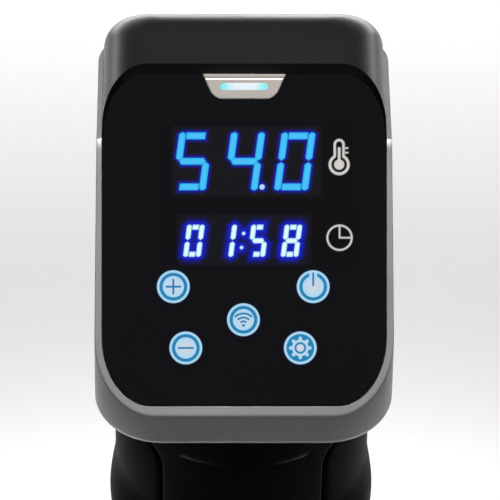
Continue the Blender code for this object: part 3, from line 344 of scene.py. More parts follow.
# Rounded rectangle as (x, y) points in fixed shares, so that two outlines match point for point.
def planOutline(half, front, back, frontRound, backRound, straight=60, corner=16):
    quarter = np.linspace(0, 1, corner, endpoint=False) * math.pi / 2
    line = np.linspace(0, 1, straight, endpoint=False)
    spots = [(half - frontRound, front + frontRound, frontRound, -math.pi / 2),
             (half - backRound, back - backRound, backRound, 0),
             (-half + backRound, back - backRound, backRound, math.pi / 2),
             (-half + frontRound, front + frontRound, frontRound, math.pi)]
    points = []
    for k, (cx, cy, r, begin) in enumerate(spots):
        a = begin + quarter
        points.append(np.stack([cx + r * np.cos(a), cy + r * np.sin(a)], -1))
        nx, ny, nr, nb = spots[(k + 1) % 4]
        start = np.array([cx + r * math.cos(begin + math.pi / 2), cy + r * math.sin(begin + math.pi / 2)])
        end = np.array([nx + nr * math.cos(nb), ny + nr * math.sin(nb)])
        points.append(start + (end - start) * line[:, None])
    return np.concatenate(points)


shell = {
    "topHalf": 36.7 * mm, "draft": 0.014,
    "cornerAtRim": 13.5 * mm, "cornerBelow": 17 * mm, "backCorner": 9.5 * mm,
    "innerHalf": 35.35 * mm, "innerCorner": 12.2 * mm, "floor": 2 * mm, "edge": 0.2 * mm, "bead": 0.05 * mm,
    "hole": 22 * mm,
}


# The outer plan at a level: it spreads by the draft and its front corners open out towards the skirt.
def shellOutline(z):
    share = np.clip((partingZ - z) / (partingZ - shellLow.z), 0, 1) ** 4
    half = shell["topHalf"] + (partingZ - z) * shell["draft"]
    corner = shell["cornerAtRim"] + (shell["cornerBelow"] - shell["cornerAtRim"]) * share
    return planOutline(half, shellLow.y, shellHigh.y, corner, shell["backCorner"])


# Height of the shell's edge: along the panel's slope in front, level behind, eased where they meet.
def shellTop(y):
    slope = y + slopeShift
    ease = 0.2 * mm
    return -ease * np.logaddexp(-slope / ease, -partingZ / ease)


def makeShell():
    inner = planOutline(shell["innerHalf"], panelLow.y - 0.12 * mm, shellHigh.y - 1.3 * mm,
                        shell["innerCorner"], shell["backCorner"] - 1.2 * mm)
    high = shellTop(shellOutline(partingZ)[:, 1])
    rows = []
    low = shellLow.z
    count = len(inner)
    angle = np.arctan2(inner[:, 1], inner[:, 0])
    hole = np.stack([shell["hole"] * np.cos(angle), shell["hole"] * np.sin(angle)], -1)
    rows.append(np.column_stack([hole, np.full(count, low)]))
    base = shellOutline(low)
    for inset, lift in ((1.2, 0), (0.35, 0.1), (0.1, 0.35)):
        shrunk = base * (1 - inset * mm / shellHigh.x)
        rows.append(np.column_stack([shrunk, np.full(count, low + lift * mm)]))
    for share in np.linspace(0.02, 1, 14) ** 1.2:
        z = low + 0.9 * mm + (high - shell["edge"] - low - 0.9 * mm) * share
        rows.append(np.column_stack([shellAt(z), z]))
    edge = shellAt(high)
    # a low bead along the outer edge of the rim, fading out towards the level part behind
    bead = shell["bead"] * np.clip((partingZ - high) / (12 * mm), 0, 1)
    for turn in np.linspace(0.25, 1, 4) * math.pi / 2:
        inset = shell["edge"] * (1 - math.cos(turn))
        rim = edge + (inner - edge) * (inset / (1.5 * mm))
        top = shellTop(rim[:, 1]) - shell["edge"] * (1 - math.sin(turn)) + bead * math.sin(turn)
        rows.append(np.column_stack([rim, top]))
    for share in (0.45, 0.93):
        rim = edge + (inner - edge) * share
        rows.append(np.column_stack([rim, shellTop(rim[:, 1])]))
    rows.append(np.column_stack([inner, shellTop(inner[:, 1]) - 0.12 * mm]))
    for share in (0.5, 0.0):
        z = low + shell["floor"] + (shellTop(inner[:, 1]) - 0.3 * mm - low - shell["floor"]) * share
        rows.append(np.column_stack([inner, z]))
    rows.append(np.column_stack([hole, np.full(count, low + shell["floor"])]))
    grid = np.stack(rows)
    faces = gridFaces(len(rows), count, wrapRows=True, wrapColumns=True)
    addPiece("head_shell_skin", grid, faces, silverLacquer, replaces=["head_shell"], slot="satin_metal",
             smooth=28)


# The outer plan where every point has its own level, mixed from the plans at even levels.
def shellAt(z):
    levels = np.linspace(shellLow.z, partingZ, 24)
    plans = np.stack([shellOutline(v) for v in levels])
    place = np.clip((z - levels[0]) / (levels[1] - levels[0]), 0, len(levels) - 1.001)
    lower = place.astype(int)
    part = (place - lower)[:, None]
    index = np.arange(len(z))
    return plans[lower, index] * (1 - part) + plans[lower + 1, index] * part


makeShell()
print("head shell made")


cover = {"half": 35.2 * mm, "sideRound": 11 * mm, "backRound": 12 * mm, "corner": 8 * mm, "below": 3 * mm}


def makeCover():
    # Level slices, open at the front where the slope cuts them: each runs back along the left side, round the
    # rear and forward along the right, and above the walls it is the base drawn in by 1 - cos(turn). The cut
    # edge is then dropped straight down as the lip's wall, which closes the form with its underside.
    back = coverHigh.y
    flat = np.linspace(0, 1, 40)
    quarter = np.linspace(0, math.pi / 2, 14)
    turns = np.concatenate([[-2, -1], np.linspace(0, math.pi / 2, 16)])
    rows = []
    for turn in turns:
        if turn < 0:
            z = partingZ - cover["below"] if turn == -2 else partingZ + 0.2 * mm
            inset = 0.0
        else:
            z = topZ - cover["sideRound"] * (1 - math.sin(turn))
            inset = 1 - math.cos(turn)
        half = cover["half"] - cover["sideRound"] * inset
        rear = back - cover["backRound"] * inset
        corner = cover["corner"] * (1 - 0.25 * inset) + 0.6 * mm * inset
        begin = max(panelHigh.y + (z - topZ), panelHigh.y - cover["sideRound"])
        sideY = begin + (rear - corner - begin) * flat
        left = np.stack([np.full(40, -half), sideY], -1)
        firstCorner = np.stack([-half + corner - corner * np.cos(quarter[1:]),
                                rear - corner + corner * np.sin(quarter[1:])], -1)
        behind = np.stack([(-half + corner) + (2 * half - 2 * corner) * flat[1:], np.full(39, rear)], -1)
        mirrored = np.concatenate([left, firstCorner])[::-1] * np.array([-1, 1])
        path = np.concatenate([left, firstCorner, behind[:-1], mirrored])
        rows.append(np.column_stack([path, np.full(len(path), z)]))
    grid = np.stack(rows)
    count, columns = grid.shape[:2]
    faces = gridFaces(count, columns)
    faces.append(((count - 1) * columns + np.arange(columns)).tolist())
    front = np.arange(2, count)
    cut = np.concatenate([front * columns, front[::-1] * columns + columns - 1])
    lip = grid.reshape(-1, 3)[cut] * np.array([1, 1, 0]) + np.array([0, 0, partingZ - cover["below"]])
    first = count * columns
    i = np.arange(len(cut) - 1)
    faces += np.stack([cut[i], cut[i + 1], first + i + 1, first + i], -1).tolist()
    faces += [[0, columns, 2 * columns, first],
              [columns - 1, 2 * columns - 1, 3 * columns - 1, first + len(cut) - 1]]
    faces.append(np.concatenate([np.arange(columns), first + np.arange(len(cut))[::-1]]).tolist())
    addPiece("top_cover_skin", np.concatenate([grid.reshape(-1, 3), lip]), faces, satinAbs,
             replaces=["top_cover"], slot="satin_black", smooth=30)


makeCover()
print("top cover made")


panel = {"half": 35.2 * mm, "topCorner": 11 * mm, "bottomCorner": 12 * mm, "thickness": 2 * mm,
         "edge": 0.2 * mm, "gap": 0.08 * mm}


# Half width at v: the plan's round corners, seen along the slope as ellipses.
def panelHalfWidth(v, inset=0.0):
    fromBottom = np.clip((v + halfSlope) / math.sqrt(2), 0, None)
    fromTop = np.clip((halfSlope - v) / math.sqrt(2), 0, None)
    half = np.full_like(v, panel["half"])
    for near, r in ((fromBottom, panel["bottomCorner"]), (fromTop, panel["topCorner"])):
        short = np.clip(r - near, 0, r)
        half = np.minimum(half, panel["half"] - r + np.sqrt(np.maximum(r * r - short * short, 0)))
    return half - inset


def makePanel():
    ends = bunched(120)
    across = bunched(90)
    v = ends * (halfSlope - panel["gap"])
    half = panelHalfWidth(v, panel["gap"])
    x = half[:, None] * across[None, :]
    borderX = (half[:, None] - np.abs(x)) / panel["edge"]
    borderV = (halfSlope - panel["gap"] + v)[:, None] / panel["edge"]
    near = np.clip(np.minimum(borderX, borderV), 0, 1)
    drop = -panel["edge"] * 0.6 * roundOver(near)
    grid = onPanel(x, v[:, None], drop)
    lowered = grid.copy()
    lowered[..., 2] -= panel["thickness"] * math.sqrt(2)
    points, faces = slabFromGrid(grid, lowered)
    addPiece("control_panel_skin", points, faces, panelAcrylic, replaces=["control_panel"],
             slot="gloss_black")


makePanel()


# lit digits, marks and keys: brightness is worked out from distances to each mark's edge
digits = {
    "large": {"text": "540", "places": (-12.85, 0.0, 12.55), "v": 19.4, "height": 14.3, "width": 8.4,
              "stroke": 0.82, "lean": 0.135, "colour": "#2fbcf6", "core": "#4cc0f6", "halo": "#0812a0",
              "reach": 0.5},
    "small": {"text": "0158", "places": (-12.5, -4.45, 3.46, 11.72), "v": -0.3, "height": 7.9, "width": 4.35,
              "stroke": 0.6, "lean": 0.13, "colour": "#c4f4fb", "core": "#eaffff", "halo": "#0414c4",
              "reach": 0.95},
    "segments": {"0": "abcdef", "1": "bc", "4": "bcfg", "5": "acdfg", "8": "abcdefg"},
    "point": (4.42, 13.05, 0.62), "colon": ((-0.15, 1.5, 0.42), (-0.68, -2.0, 0.42)),
}


# Distance outside one bar of a seven-bar figure: upright bars are pointed in the middle, flat at the ends.
def segmentDistance(x, y, letter, width, height, stroke):
    w, h = width / 2 - stroke, height / 2 - stroke
    gap = 0.2
    if letter in "adg":
        middle = {"a": h, "d": -h, "g": 0}[letter]
        dy = np.abs(y - middle)
        if letter == "g":
            return np.maximum(dy - stroke, np.abs(x) + 0.75 * dy - (w - gap * 0.4))
        return np.maximum(dy - stroke, np.abs(x) - (w - stroke - gap))
    side = w if letter in "bc" else -w
    dx = np.abs(x - side)
    up = y if letter in "bf" else -y
    outerEnd = up - (h + stroke) + 0.35 * np.maximum(dx - 0.3 * stroke, 0) * 2
    innerEnd = gap + 0.75 * dx - up
    return np.maximum(np.maximum(dx - stroke, outerEnd), innerEnd)


# Least distance to any lit bar of the row of figures, in millimetres.
def figuresDistance(x, y, style):
    nearest = np.full_like(x, 99.0)
    for figure, place in zip(style["text"], style["places"]):
        local = y - style["v"]
        across = x - place - local * style["lean"]
        for letter in digits["segments"][figure]:
            nearest = np.minimum(nearest, segmentDistance(across, local, letter, style["width"],
                                                          style["height"], style["stroke"]))
    return nearest


# Lit bars with a paler core, and the blue light that spreads round them in the smoked window.
def paintFigures(x, y, style, extra):
    near = figuresDistance(x, y, style)
    for px, py, r in extra:
        near = np.minimum(near, np.hypot(x - px, y - py) - r)
    bar = smoothstep(0.09, -0.09, near)[..., None]
    core = smoothstep(-0.15, -style["stroke"] * 0.95, near)[..., None]
    halo = np.exp(-(np.maximum(near - 0.1, 0) / style["reach"]) ** 2)[..., None]
    colour = light(style["colour"]) * (1 - core) + light(style["core"]) * core
    return colour * bar + light(style["halo"]) * halo * (1 - bar)


def ringDistance(x, y, cx, cy, radius, half):
    return np.abs(np.hypot(x - cx, y - cy) - radius) - half


# Distance to a round-ended line from one point to another.
def barDistance(x, y, x0, y0, x1, y1, half):
    dx, dy = x1 - x0, y1 - y0
    t = np.clip(((x - x0) * dx + (y - y0) * dy) / (dx * dx + dy * dy), 0, 1)
    return np.hypot(x - x0 - t * dx, y - y0 - t * dy) - half


marks = {"thermometer": (23.55, 18.6), "clock": (23.65, 0.45), "colour": "#d2cfca"}


# A thermometer and a clock face as plain outlines.
def paintMarks(x, y):
    tx, ty = marks["thermometer"]
    bulb = ringDistance(x, y, tx, ty, 2.28, 0.34)
    stemEdge = np.abs(barDistance(x, y, tx, ty, tx, ty + 5.0, 1.08)) - 0.3
    stem = np.where(y > ty + 1.95, stemEdge, 9)
    opening = np.where((np.abs(x - tx) < 0.85) & (y > ty), 9.0, bulb)
    inside = np.minimum(np.hypot(x - tx, y - ty) - 1.26, barDistance(x, y, tx, ty, tx, ty + 4.0, 0.34))
    ticks = np.minimum(barDistance(x, y, tx + 1.6, ty + 4.1, tx + 2.1, ty + 4.1, 0.2),
                       barDistance(x, y, tx + 1.6, ty + 2.95, tx + 2.1, ty + 2.95, 0.2))
    cx, cy = marks["clock"]
    face = ringDistance(x, y, cx, cy, 3.03, 0.23)
    hands = np.minimum(barDistance(x, y, cx, cy, cx, cy + 2.9, 0.2),
                       barDistance(x, y, cx, cy, cx + 2.9, cy, 0.2))
    nearest = np.minimum.reduce([stem, opening, inside, ticks, face, hands])
    return light(marks["colour"]) * smoothstep(0.1, -0.1, nearest)[..., None]


# A thin flat window on the panel; paint gives its glow from x and v in millimetres.
def litPatch(name, low, high, step, paint, rise=0.03, **handed):
    x = np.arange(low[0], high[0] + step / 2, step)[None, :]
    v = np.arange(low[1], high[1] + step / 2, step)[:, None]
    x, v = np.broadcast_arrays(x, v)
    glow = paint(x, v)
    grid = onPanel(x * mm, v * mm, rise * mm)
    points, faces = slabFromGrid(grid, onPanel(x * mm, v * mm, -0.2 * mm))
    return addPiece(name, points, faces, litWindow, glow=glow.reshape(-1, 3), merge=False, **handed)


def paintLarge(x, y):
    px, py, pr = digits["point"]
    window = smoothstep(0.6, -0.6, np.maximum(np.abs(x - 0.6) - 18.6, np.abs(y - 19.4) - 8.8))[..., None]
    point = smoothstep(0.12, -0.12, np.hypot(x - px, y - py) - pr)[..., None]
    lit = paintFigures(x, y, digits["large"], [digits["point"]])
    lit = lit * (1 - point) + light("#b9e0fa") * point
    return lit + paintMarks(x, y) + light("#0e0c12") * window


def paintSmall(x, y):
    window = smoothstep(0.6, -0.6, np.maximum(np.abs(x) - 16.6, np.abs(y + 0.2) - 6.4))[..., None]
    lit = paintFigures(x, y, digits["small"], digits["colon"])
    return lit + paintMarks(x, y) + light("#0c0c14") * window


litPatch("temperature_window", (-20.5, 8.0), (27.2, 29.0), 0.16, paintLarge,
         replaces=["temperature_display"], slot="smoked_window")
litPatch("timer_window", (-20.5, -7.4), (28.2, 7.6), 0.16, paintSmall,
         replaces=["timer_display"], slot="smoked_window")

keys = {"radius": 4.06, "ring": 3.05, "ringHalf": 0.41, "reach": 5.6, "disc": "#b2d6ef", "warm": "#cdd6e2",
        "ink": "#1c80b2", "edge": "#a2d6f4", "halo": "#03051c"}


# Distance to the printed ring and sign of one key.
def iconDistance(name, x, y):
    r = np.hypot(x, y)
    ring = ringDistance(x, y, 0, 0, keys["ring"], keys["ringHalf"])
    if name == "key_plus":
        sign = np.minimum(barDistance(x, y, -1.7, 0, 1.7, 0, 0.26), barDistance(x, y, 0, -1.7, 0, 1.7, 0.26))
        return np.minimum(ring, sign)
    if name == "key_minus":
        return np.minimum(ring, barDistance(x, y, -1.75, 0, 1.75, 0, 0.25))
    if name == "key_power":
        opening = 0.98 - np.abs(x)
        ring = np.where(y > 0, np.maximum(ring, opening), ring)
        return np.minimum(ring, barDistance(x, y, 0, 0.35, 0, 3.3, 0.25))
    if name == "key_wifi":
        fromDot = np.hypot(x, y + 1.4)
        turn = np.abs(np.arctan2(x, y + 1.4)) - 0.8
        arcs = np.minimum.reduce([np.abs(fromDot - reach) - 0.25 for reach in (1.0, 1.95, 2.95)])
        arcs = np.maximum(arcs, turn * fromDot)
        return np.minimum.reduce([ring, arcs, fromDot - 0.36])
    teeth = np.abs(((np.arctan2(y, x) / tau * 8 + 0.5) % 1) - 0.5)
    gear = r - (2.05 + 0.72 * smoothstep(0.32, 0.14, teeth))
    band = np.maximum(r - 3.45, -gear)
    return np.minimum(band, np.abs(r - 1.2) - 0.25)


# A key's window as rings of points about its middle, lit from behind through its print.
def makeKey(name):
    offset = np.array(middleOf(name)) - panelMiddle
    cx, cv = offset[0], offset @ upSlope
    rings, spokes = 76, 150
    radius = np.linspace(0.02, 1, rings)[:, None] * keys["reach"]
    angle = np.arange(spokes)[None, :] / spokes * tau
    x, y = radius * np.cos(angle), radius * np.sin(angle)
    near = iconDistance(name, x, y)
    radius = np.broadcast_to(radius, x.shape)
    disc = smoothstep(0.1, -0.1, radius - keys["radius"])[..., None]
    inked = smoothstep(0.11, -0.11, near)[..., None] * disc
    soft = smoothstep(2.4, 0.6, radius)[..., None]
    rim = smoothstep(3.5, 3.95, radius)[..., None]
    face = light(keys["disc"]) * (1 - soft) + light(keys["warm"]) * soft
    face = face * (1 - 0.6 * rim) + light(keys["edge"]) * 0.6 * rim
    colour = face * (1 - inked) + light(keys["ink"]) * inked
    halo = np.exp(-np.maximum(radius - keys["radius"], 0) / 0.5)[..., None]
    fade = smoothstep(keys["reach"], keys["reach"] - 0.6, radius)[..., None]
    glow = colour * disc + light(keys["halo"]) * halo * (1 - disc) * fade
    rise = 0.05 * mm
    grid = onPanel(x * mm + cx, y * mm + cv, rise)
    count = rings * spokes
    centre = onPanel(np.array([cx]), np.array([cv]), rise)
    below = onPanel(x[-1] * mm + cx, y[-1] * mm + cv, -0.3 * mm)
    points = np.concatenate([grid.reshape(-1, 3), centre, below])
    faces = gridFaces(rings, spokes, wrapColumns=True)
    i = np.arange(spokes)
    j = (i + 1) % spokes
    faces += np.stack([np.full(spokes, count), i, j], -1).tolist()
    last = (rings - 1) * spokes
    faces += np.stack([last + i, count + 1 + i, count + 1 + j, last + j], -1).tolist()
    faces.append((count + 1 + i).tolist())
    inner = glow.reshape(-1, 3)
    addPiece(name + "_window", points, faces, litWindow, glow=np.concatenate([inner, inner[:1]]),
             merge=False, replaces=[name], slot="lit_window")


for keyName in ("key_plus", "key_minus", "key_wifi", "key_power", "key_settings"):
    makeKey(keyName)
print("panel, figures and keys made")


tab = {"top": 10.4 * mm, "bottom": 7.55 * mm, "height": 6.25 * mm, "round": 2.1 * mm, "rise": 0.35 * mm,
       "groove": 1.05 * mm, "grooveDepth": 0.1 * mm, "bar": (5.9 * mm, 0.85 * mm), "barDrop": 3.25 * mm}


# Half width runs down the splayed side, then follows a round lower corner; n is the face's height.
def makeTab():
    t = np.concatenate([np.linspace(0, 0.6, 50), 0.6 + 0.4 * np.sin(np.linspace(0, math.pi / 2, 26))[1:]])
    down = t * tab["height"]
    half = tab["top"] + (tab["bottom"] - tab["top"]) * (down / tab["height"])
    short = np.clip(tab["round"] - (tab["height"] - down), 0, tab["round"])
    half = half - tab["round"] + np.sqrt(np.maximum(tab["round"] ** 2 - short ** 2, 0))
    across = bunched(70)
    x = half[:, None] * across
    v = (halfSlope - panel["gap"] - down)[:, None] + 0 * x
    border = np.minimum((half[:, None] - np.abs(x)), (tab["height"] - down)[:, None]) / (0.4 * mm)
    near = np.clip(border, 0, 1)
    n = tab["rise"] - 0.25 * mm * roundOver(near)
    n = n - tab["grooveDepth"] * np.exp(-((down[:, None] - tab["groove"]) / (0.22 * mm)) ** 2)
    points, faces = slabFromGrid(onPanel(x, v, n), onPanel(x, v, -0.3 * mm))
    addPiece("status_tab_plate", points, faces, paleAnodised, replaces=["status_tab"], slot="pale_metal")
    barHalf, barHigh = tab["bar"]
    across = np.linspace(-1, 1, 60)[None, :]
    up = np.linspace(-1, 1, 14)[:, None]
    x, v = across * barHalf + 0 * up, up * barHigh + 0 * across
    middle = light("#e6f4fa")
    ends = light("#86eef2")
    share = smoothstep(0.35, 0.95, np.abs(across))[..., None] + 0 * v[..., None]
    # painted shade: the bar's glow is dimmed by up to 12% towards its top and bottom edges, a soft shadow
    # line along them
    edge = (1 - 0.12 * np.abs(up) ** 3)[..., None]
    glow = (middle * (1 - share) + ends * share) * edge
    place = halfSlope - tab["barDrop"]
    n = tab["rise"] + 0.08 * mm * (1 - (np.abs(up) ** 4 + np.abs(across) ** 12))
    points, faces = slabFromGrid(onPanel(x, v + place, n), onPanel(x, v + place, -0.2 * mm))
    addPiece("status_light_lens", points, faces, litWindow, glow=glow.reshape(-1, 3), merge=False,
             replaces=["status_light_bar"], slot="lit_window")


makeTab()


handle = {"neck": 33.3 * mm, "bulge": 35.0 * mm, "bulgeZ": 262 * mm, "neckZ": 279 * mm, "depth": 0.95,
          "collar": 33.6 * mm, "front": math.radians(40), "rear": math.radians(32), "skin": 2.7 * mm,
          "gripTop": 302 * mm, "gripCorner": 7 * mm, "cornerTurn": math.radians(12), "gap": 0.3 * mm,
          "crown": 0.15 * mm, "crownReach": 9 * mm, "edgeReach": 1.4 * mm, "edgeDrop": 1.0 * mm}
seat = {"half": 12 * mm, "low": 265 * mm, "high": 293 * mm, "gap": 0.3 * mm, "edge": 1.5 * mm, "deep": 8 * mm}
handleLow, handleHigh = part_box("handle_core")


# Half width at each level: straight neck, soft bulge below it, in to the collar at the foot.
def handleHalf(z):
    above = z > handle["bulgeZ"]
    span = np.where(above, handle["neckZ"] - handle["bulgeZ"], handle["bulgeZ"] - handleLow.z)
    ends = np.where(above, handle["neck"], handle["collar"])
    share = np.clip(np.abs(z - handle["bulgeZ"]) / span, 0, 1)
    return handle["bulge"] + (ends - handle["bulge"]) * (3 * share ** 2 - 2 * share ** 3)


# x = half sin(angle), y = -0.95 half cos(angle), both less the inset.
def handleGrid(z, angle, inset):
    half = handleHalf(z)
    across = (half - inset) * np.sin(angle)
    deep = -(half * handle["depth"] - inset) * np.cos(angle)
    return np.stack([across, deep, z + 0 * angle], -1)


# A curved cover between two angles that may change with level; its border is rounded and crown lifts it.
def girthPiece(name, levels, low, high, crown, material, columns=60, **handed):
    t = easedLevels(0, 1, columns)[None, :]
    z = levels[:, None] + 0 * t
    angle = low[:, None] + (high - low)[:, None] * t
    wide = (high - low)[:, None] * handleHalf(z)
    fromSide = np.minimum(t, 1 - t) * wide
    fromEnd = np.minimum(z - levels[0], levels[-1] - z)
    near = np.clip(np.minimum(fromSide, fromEnd) / handle["edgeReach"], 0, 1)
    edge = handle["edgeDrop"] * roundOver(near)
    lift = crown * np.sin(np.clip(fromSide / handle["crownReach"], 0, 1) * math.pi / 2)
    lift = lift * np.clip(fromEnd / handle["crownReach"], 0, 1) ** 0.5
    points, faces = shellFromGrids(handleGrid(z, angle, edge - lift),
                                   handleGrid(z, angle, handle["skin"] + 0 * z))
    return addPiece(name, points, faces, material, **handed)


def easedLevels(low, high, count):
    return low + (high - low) * (0.5 - 0.5 * np.cos(np.linspace(0, math.pi, count)))


def makeHandle():
    bottom, top = handleLow.z + 0.2 * mm, handleHigh.z - 0.1 * mm
    gap = handle["gap"] / handle["neck"]
    front, rear = handle["front"], handle["rear"]
    centre = (front + math.pi - rear) / 2
    gripLevels = easedLevels(bottom, handle["gripTop"], 70)
    rounding = np.clip((gripLevels - (handle["gripTop"] - handle["gripCorner"])) / handle["gripCorner"], 0, 1)
    pull = handle["cornerTurn"] * (1 - np.sqrt(1 - rounding ** 2))
    for name, side in (("grip_right", 1), ("grip_left", -1)):
        low, high = side * (front + gap + pull), side * (math.pi - rear - gap - pull)
        girthPiece(name + "_pad", gripLevels, np.minimum(low, high), np.maximum(low, high),
                   handle["crown"], softGrip, replaces=[name], slot="dark_rubber")
    upper = np.linspace(handle["gripTop"] + handle["gap"], top, 14)
    levels = np.concatenate([gripLevels, upper])
    frontHalf = np.concatenate([front - gap + pull, np.full(14, centre - gap)])
    rearHalf = np.concatenate([rear - gap + pull, np.full(14, math.pi - centre - gap)])
    girthPiece("handle_front_skin", levels, -frontHalf, frontHalf, 0.0, polishedAbs,
               replaces=["handle_front_cover"], slot="gloss_black", columns=80)
    girthPiece("handle_rear_skin", levels, math.pi - rearHalf, math.pi + rearHalf, 0.0, satinAbs,
               replaces=["handle_rear_cover"], slot="satin_black", columns=60)
    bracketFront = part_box("clamp_bracket")[0].y
    u = bunched(40)[None, :]
    w = bunched(50)[:, None]
    x = u * seat["half"] + 0 * w
    z = (seat["low"] + seat["high"]) / 2 + w * (seat["high"] - seat["low"]) / 2 + 0 * u
    fromEnd = (seat["high"] - seat["low"]) / 2 * (1 - np.abs(w))
    near = np.clip(np.minimum(seat["half"] - np.abs(x), fromEnd) / seat["edge"], 0, 1)
    y = bracketFront - seat["gap"] - seat["edge"] * roundOver(near)
    face = np.stack([x, y, z], -1)
    behind = np.stack([x, np.full_like(x, bracketFront - seat["deep"]), z], -1)
    points, faces = slabFromGrid(face, behind)
    addPiece("clamp_seat_boss", points, faces, satinAbs, slot="satin_black")


makeHandle()
print("handle made")


collar = {"ribs": 30, "ribDepth": 0.35 * mm}


def makeCollar():
    low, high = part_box("locking_collar")
    outer, inner = high.x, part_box("steel_sleeve")[1].x + 0.3 * mm
    corners = [(inner, high.z), (outer - 0.5 * mm, high.z), (outer, high.z - 2 * mm),
               (outer, low.z + 2 * mm), (outer - 1.2 * mm, low.z), (inner, low.z), (inner, high.z)]
    profile = filletRows(corners, 0.8 * mm)[:-1]
    middle, span = (low.z + high.z) / 2, (high.z - low.z) / 2

    def ribs(angle, height, radius):
        belt = smoothstep(1, 0.8, np.abs(height - middle) / (span * 0.8)) * (radius > outer - 0.2 * mm)
        return -collar["ribDepth"] * belt * (0.5 + 0.5 * np.cos(angle * collar["ribs"])) ** 6
    turnedPiece("locking_collar_ring", stepped(profile + profile[:1], 1.2 * mm), nylon, count=360,
                ripple=ribs, ring=True, body="collar", replaces=["locking_collar"], slot="satin_black")


# A turned sheet with a ring of upright slots: columns follow each slot's sides, and rows near its ends
# are moved onto half circles. The wall is given afterwards.
def slottedTube(name, levels, radii, slots, material, thickness, **handed):
    count, half, outer = slots["count"], slots["half"], slots["radius"]
    low, high = slots["low"], slots["high"]
    across = bunched(9) * half / outer
    between = np.linspace(half / outer, tau / count - half / outer, 10)[1:-1]
    shares = np.concatenate([across, between])
    angle = (np.arange(count)[:, None] * tau / count + slots["turn"] + shares).ravel()
    columns = len(angle)
    arch = np.sqrt(np.maximum(half ** 2 - (across * outer) ** 2, 0))
    rise = np.tile(np.concatenate([arch, np.zeros(8)]), count)
    z = levels[:, None] + np.zeros((1, columns))
    for end, sign in ((high - half, 1), (low + half, -1)):
        weight = np.clip(1 - np.abs(levels - end) / (5 * mm), 0, 1)[:, None]
        outside = (levels - end)[:, None] * sign >= -1e-7
        z = z + sign * rise[None, :] * np.where(outside, weight, 0)
    r = radii[:, None] + 0 * z
    grid = np.stack([r * np.cos(angle), r * np.sin(angle), z], -1)
    faces = np.array(gridFaces(len(levels), columns, wrapColumns=True)).reshape(len(levels) - 1, columns, 4)
    rowOpen = (levels[:-1] >= low + half - 1e-7) & (levels[1:] <= high - half + 1e-7)
    columnOpen = np.tile(np.concatenate([np.ones(8), np.zeros(9)]), count).astype(bool)
    kept = faces[~(rowOpen[:, None] & columnOpen[None, :])]
    piece = addPiece(name, grid, kept.reshape(-1, 4).tolist(), material, **handed)
    wall = piece.modifiers.new("wall", "SOLIDIFY")
    wall.thickness = thickness
    wall.offset = -1
    wall.use_even_offset = True
    return piece


def withLevels(base, *marks):
    return np.unique(np.round(np.concatenate([base, np.array(marks)]), 7))


def makeSleeve():
    low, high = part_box("steel_sleeve")
    radius = high.x
    slots = {"count": 12, "half": 1.8 * mm, "low": low.z + 16 * mm, "high": low.z + 56 * mm,
             "radius": radius, "turn": math.radians(15)}
    waterLines = (112 * mm, 205 * mm)
    base = np.concatenate([np.linspace(low.z + 0.4 * mm, slots["low"] - 6 * mm, 5),
                           np.linspace(slots["low"] - 5 * mm, slots["low"] + 4 * mm, 14),
                           np.linspace(slots["low"] + 6 * mm, slots["high"] - 6 * mm, 6),
                           np.linspace(slots["high"] - 4 * mm, slots["high"] + 5 * mm, 14),
                           np.linspace(slots["high"] + 8 * mm, high.z - 1 * mm, 50)])
    lines = [level + away * mm for level in waterLines for away in (-0.5, -0.25, 0.25, 0.5)]
    levels = withLevels(base, slots["low"] + slots["half"], slots["high"] - slots["half"], low.z, high.z,
                        *lines)
    radii = np.full(len(levels), radius)
    for level in waterLines:
        radii = radii - 0.18 * mm * (np.abs(levels - level) < 0.3 * mm)
    radii = radii - 0.25 * mm * (levels < low.z + 0.1 * mm) - 0.15 * mm * (levels > high.z - 0.1 * mm)
    slottedTube("steel_sleeve_tube", levels, radii, slots, brushedTube, 0.8 * mm, body="sleeve",
                replaces=["steel_sleeve"], slot="steel")


def makeCap():
    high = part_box("bottom_cap")[1]
    radius = high.x
    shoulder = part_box("steel_sleeve")[0].z - 0.3 * mm
    slots = {"count": 16, "half": 1.8 * mm, "low": 7 * mm, "high": 22 * mm, "radius": radius, "turn": 0}
    levels = withLevels(np.linspace(2.2 * mm, shoulder - mm, 30), slots["low"] + slots["half"],
                        slots["high"] - slots["half"])
    radii = np.full(len(levels), radius)
    foot = [(radius - 2.2 * mm + 2.2 * mm * math.sin(a), 2.2 * mm * (1 - math.cos(a)))
            for a in np.linspace(0, math.pi / 2, 8)[:-1]]
    head = [(radius - 0.7 * mm * (1 - math.cos(a)), shoulder - 0.7 * mm + 0.7 * mm * math.sin(a))
            for a in np.linspace(0.2, math.pi / 2, 5)]
    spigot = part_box("steel_sleeve")[1].x - 1.15 * mm
    path = [(0.0, 0.0), (radius * 0.5, 0.0)] + foot + list(zip(radii, levels)) + head
    path += [(spigot, shoulder + 0.05 * mm), (spigot, high.z - 0.5 * mm), (spigot - 0.4 * mm, high.z)]
    allRadii, allLevels = np.array([p[0] for p in path]), np.array([p[1] for p in path])
    slottedTube("bottom_cap_cup", allLevels, np.maximum(allRadii, 0), slots, nylon, 1.6 * mm, body="cap",
                replaces=["bottom_cap"], slot="satin_black", smooth=40)


makeCollar()
makeSleeve()
makeCap()
print("collar, sleeve and cap made")


clamp = {"ridge": 0.25 * mm, "ridgePitch": 2.1 * mm, "pitch": 2 * mm, "threadDepth": 0.75 * mm,
         "tipTaper": 0.35 * mm, "lobes": 6, "lobeDepth": 3.2 * mm}


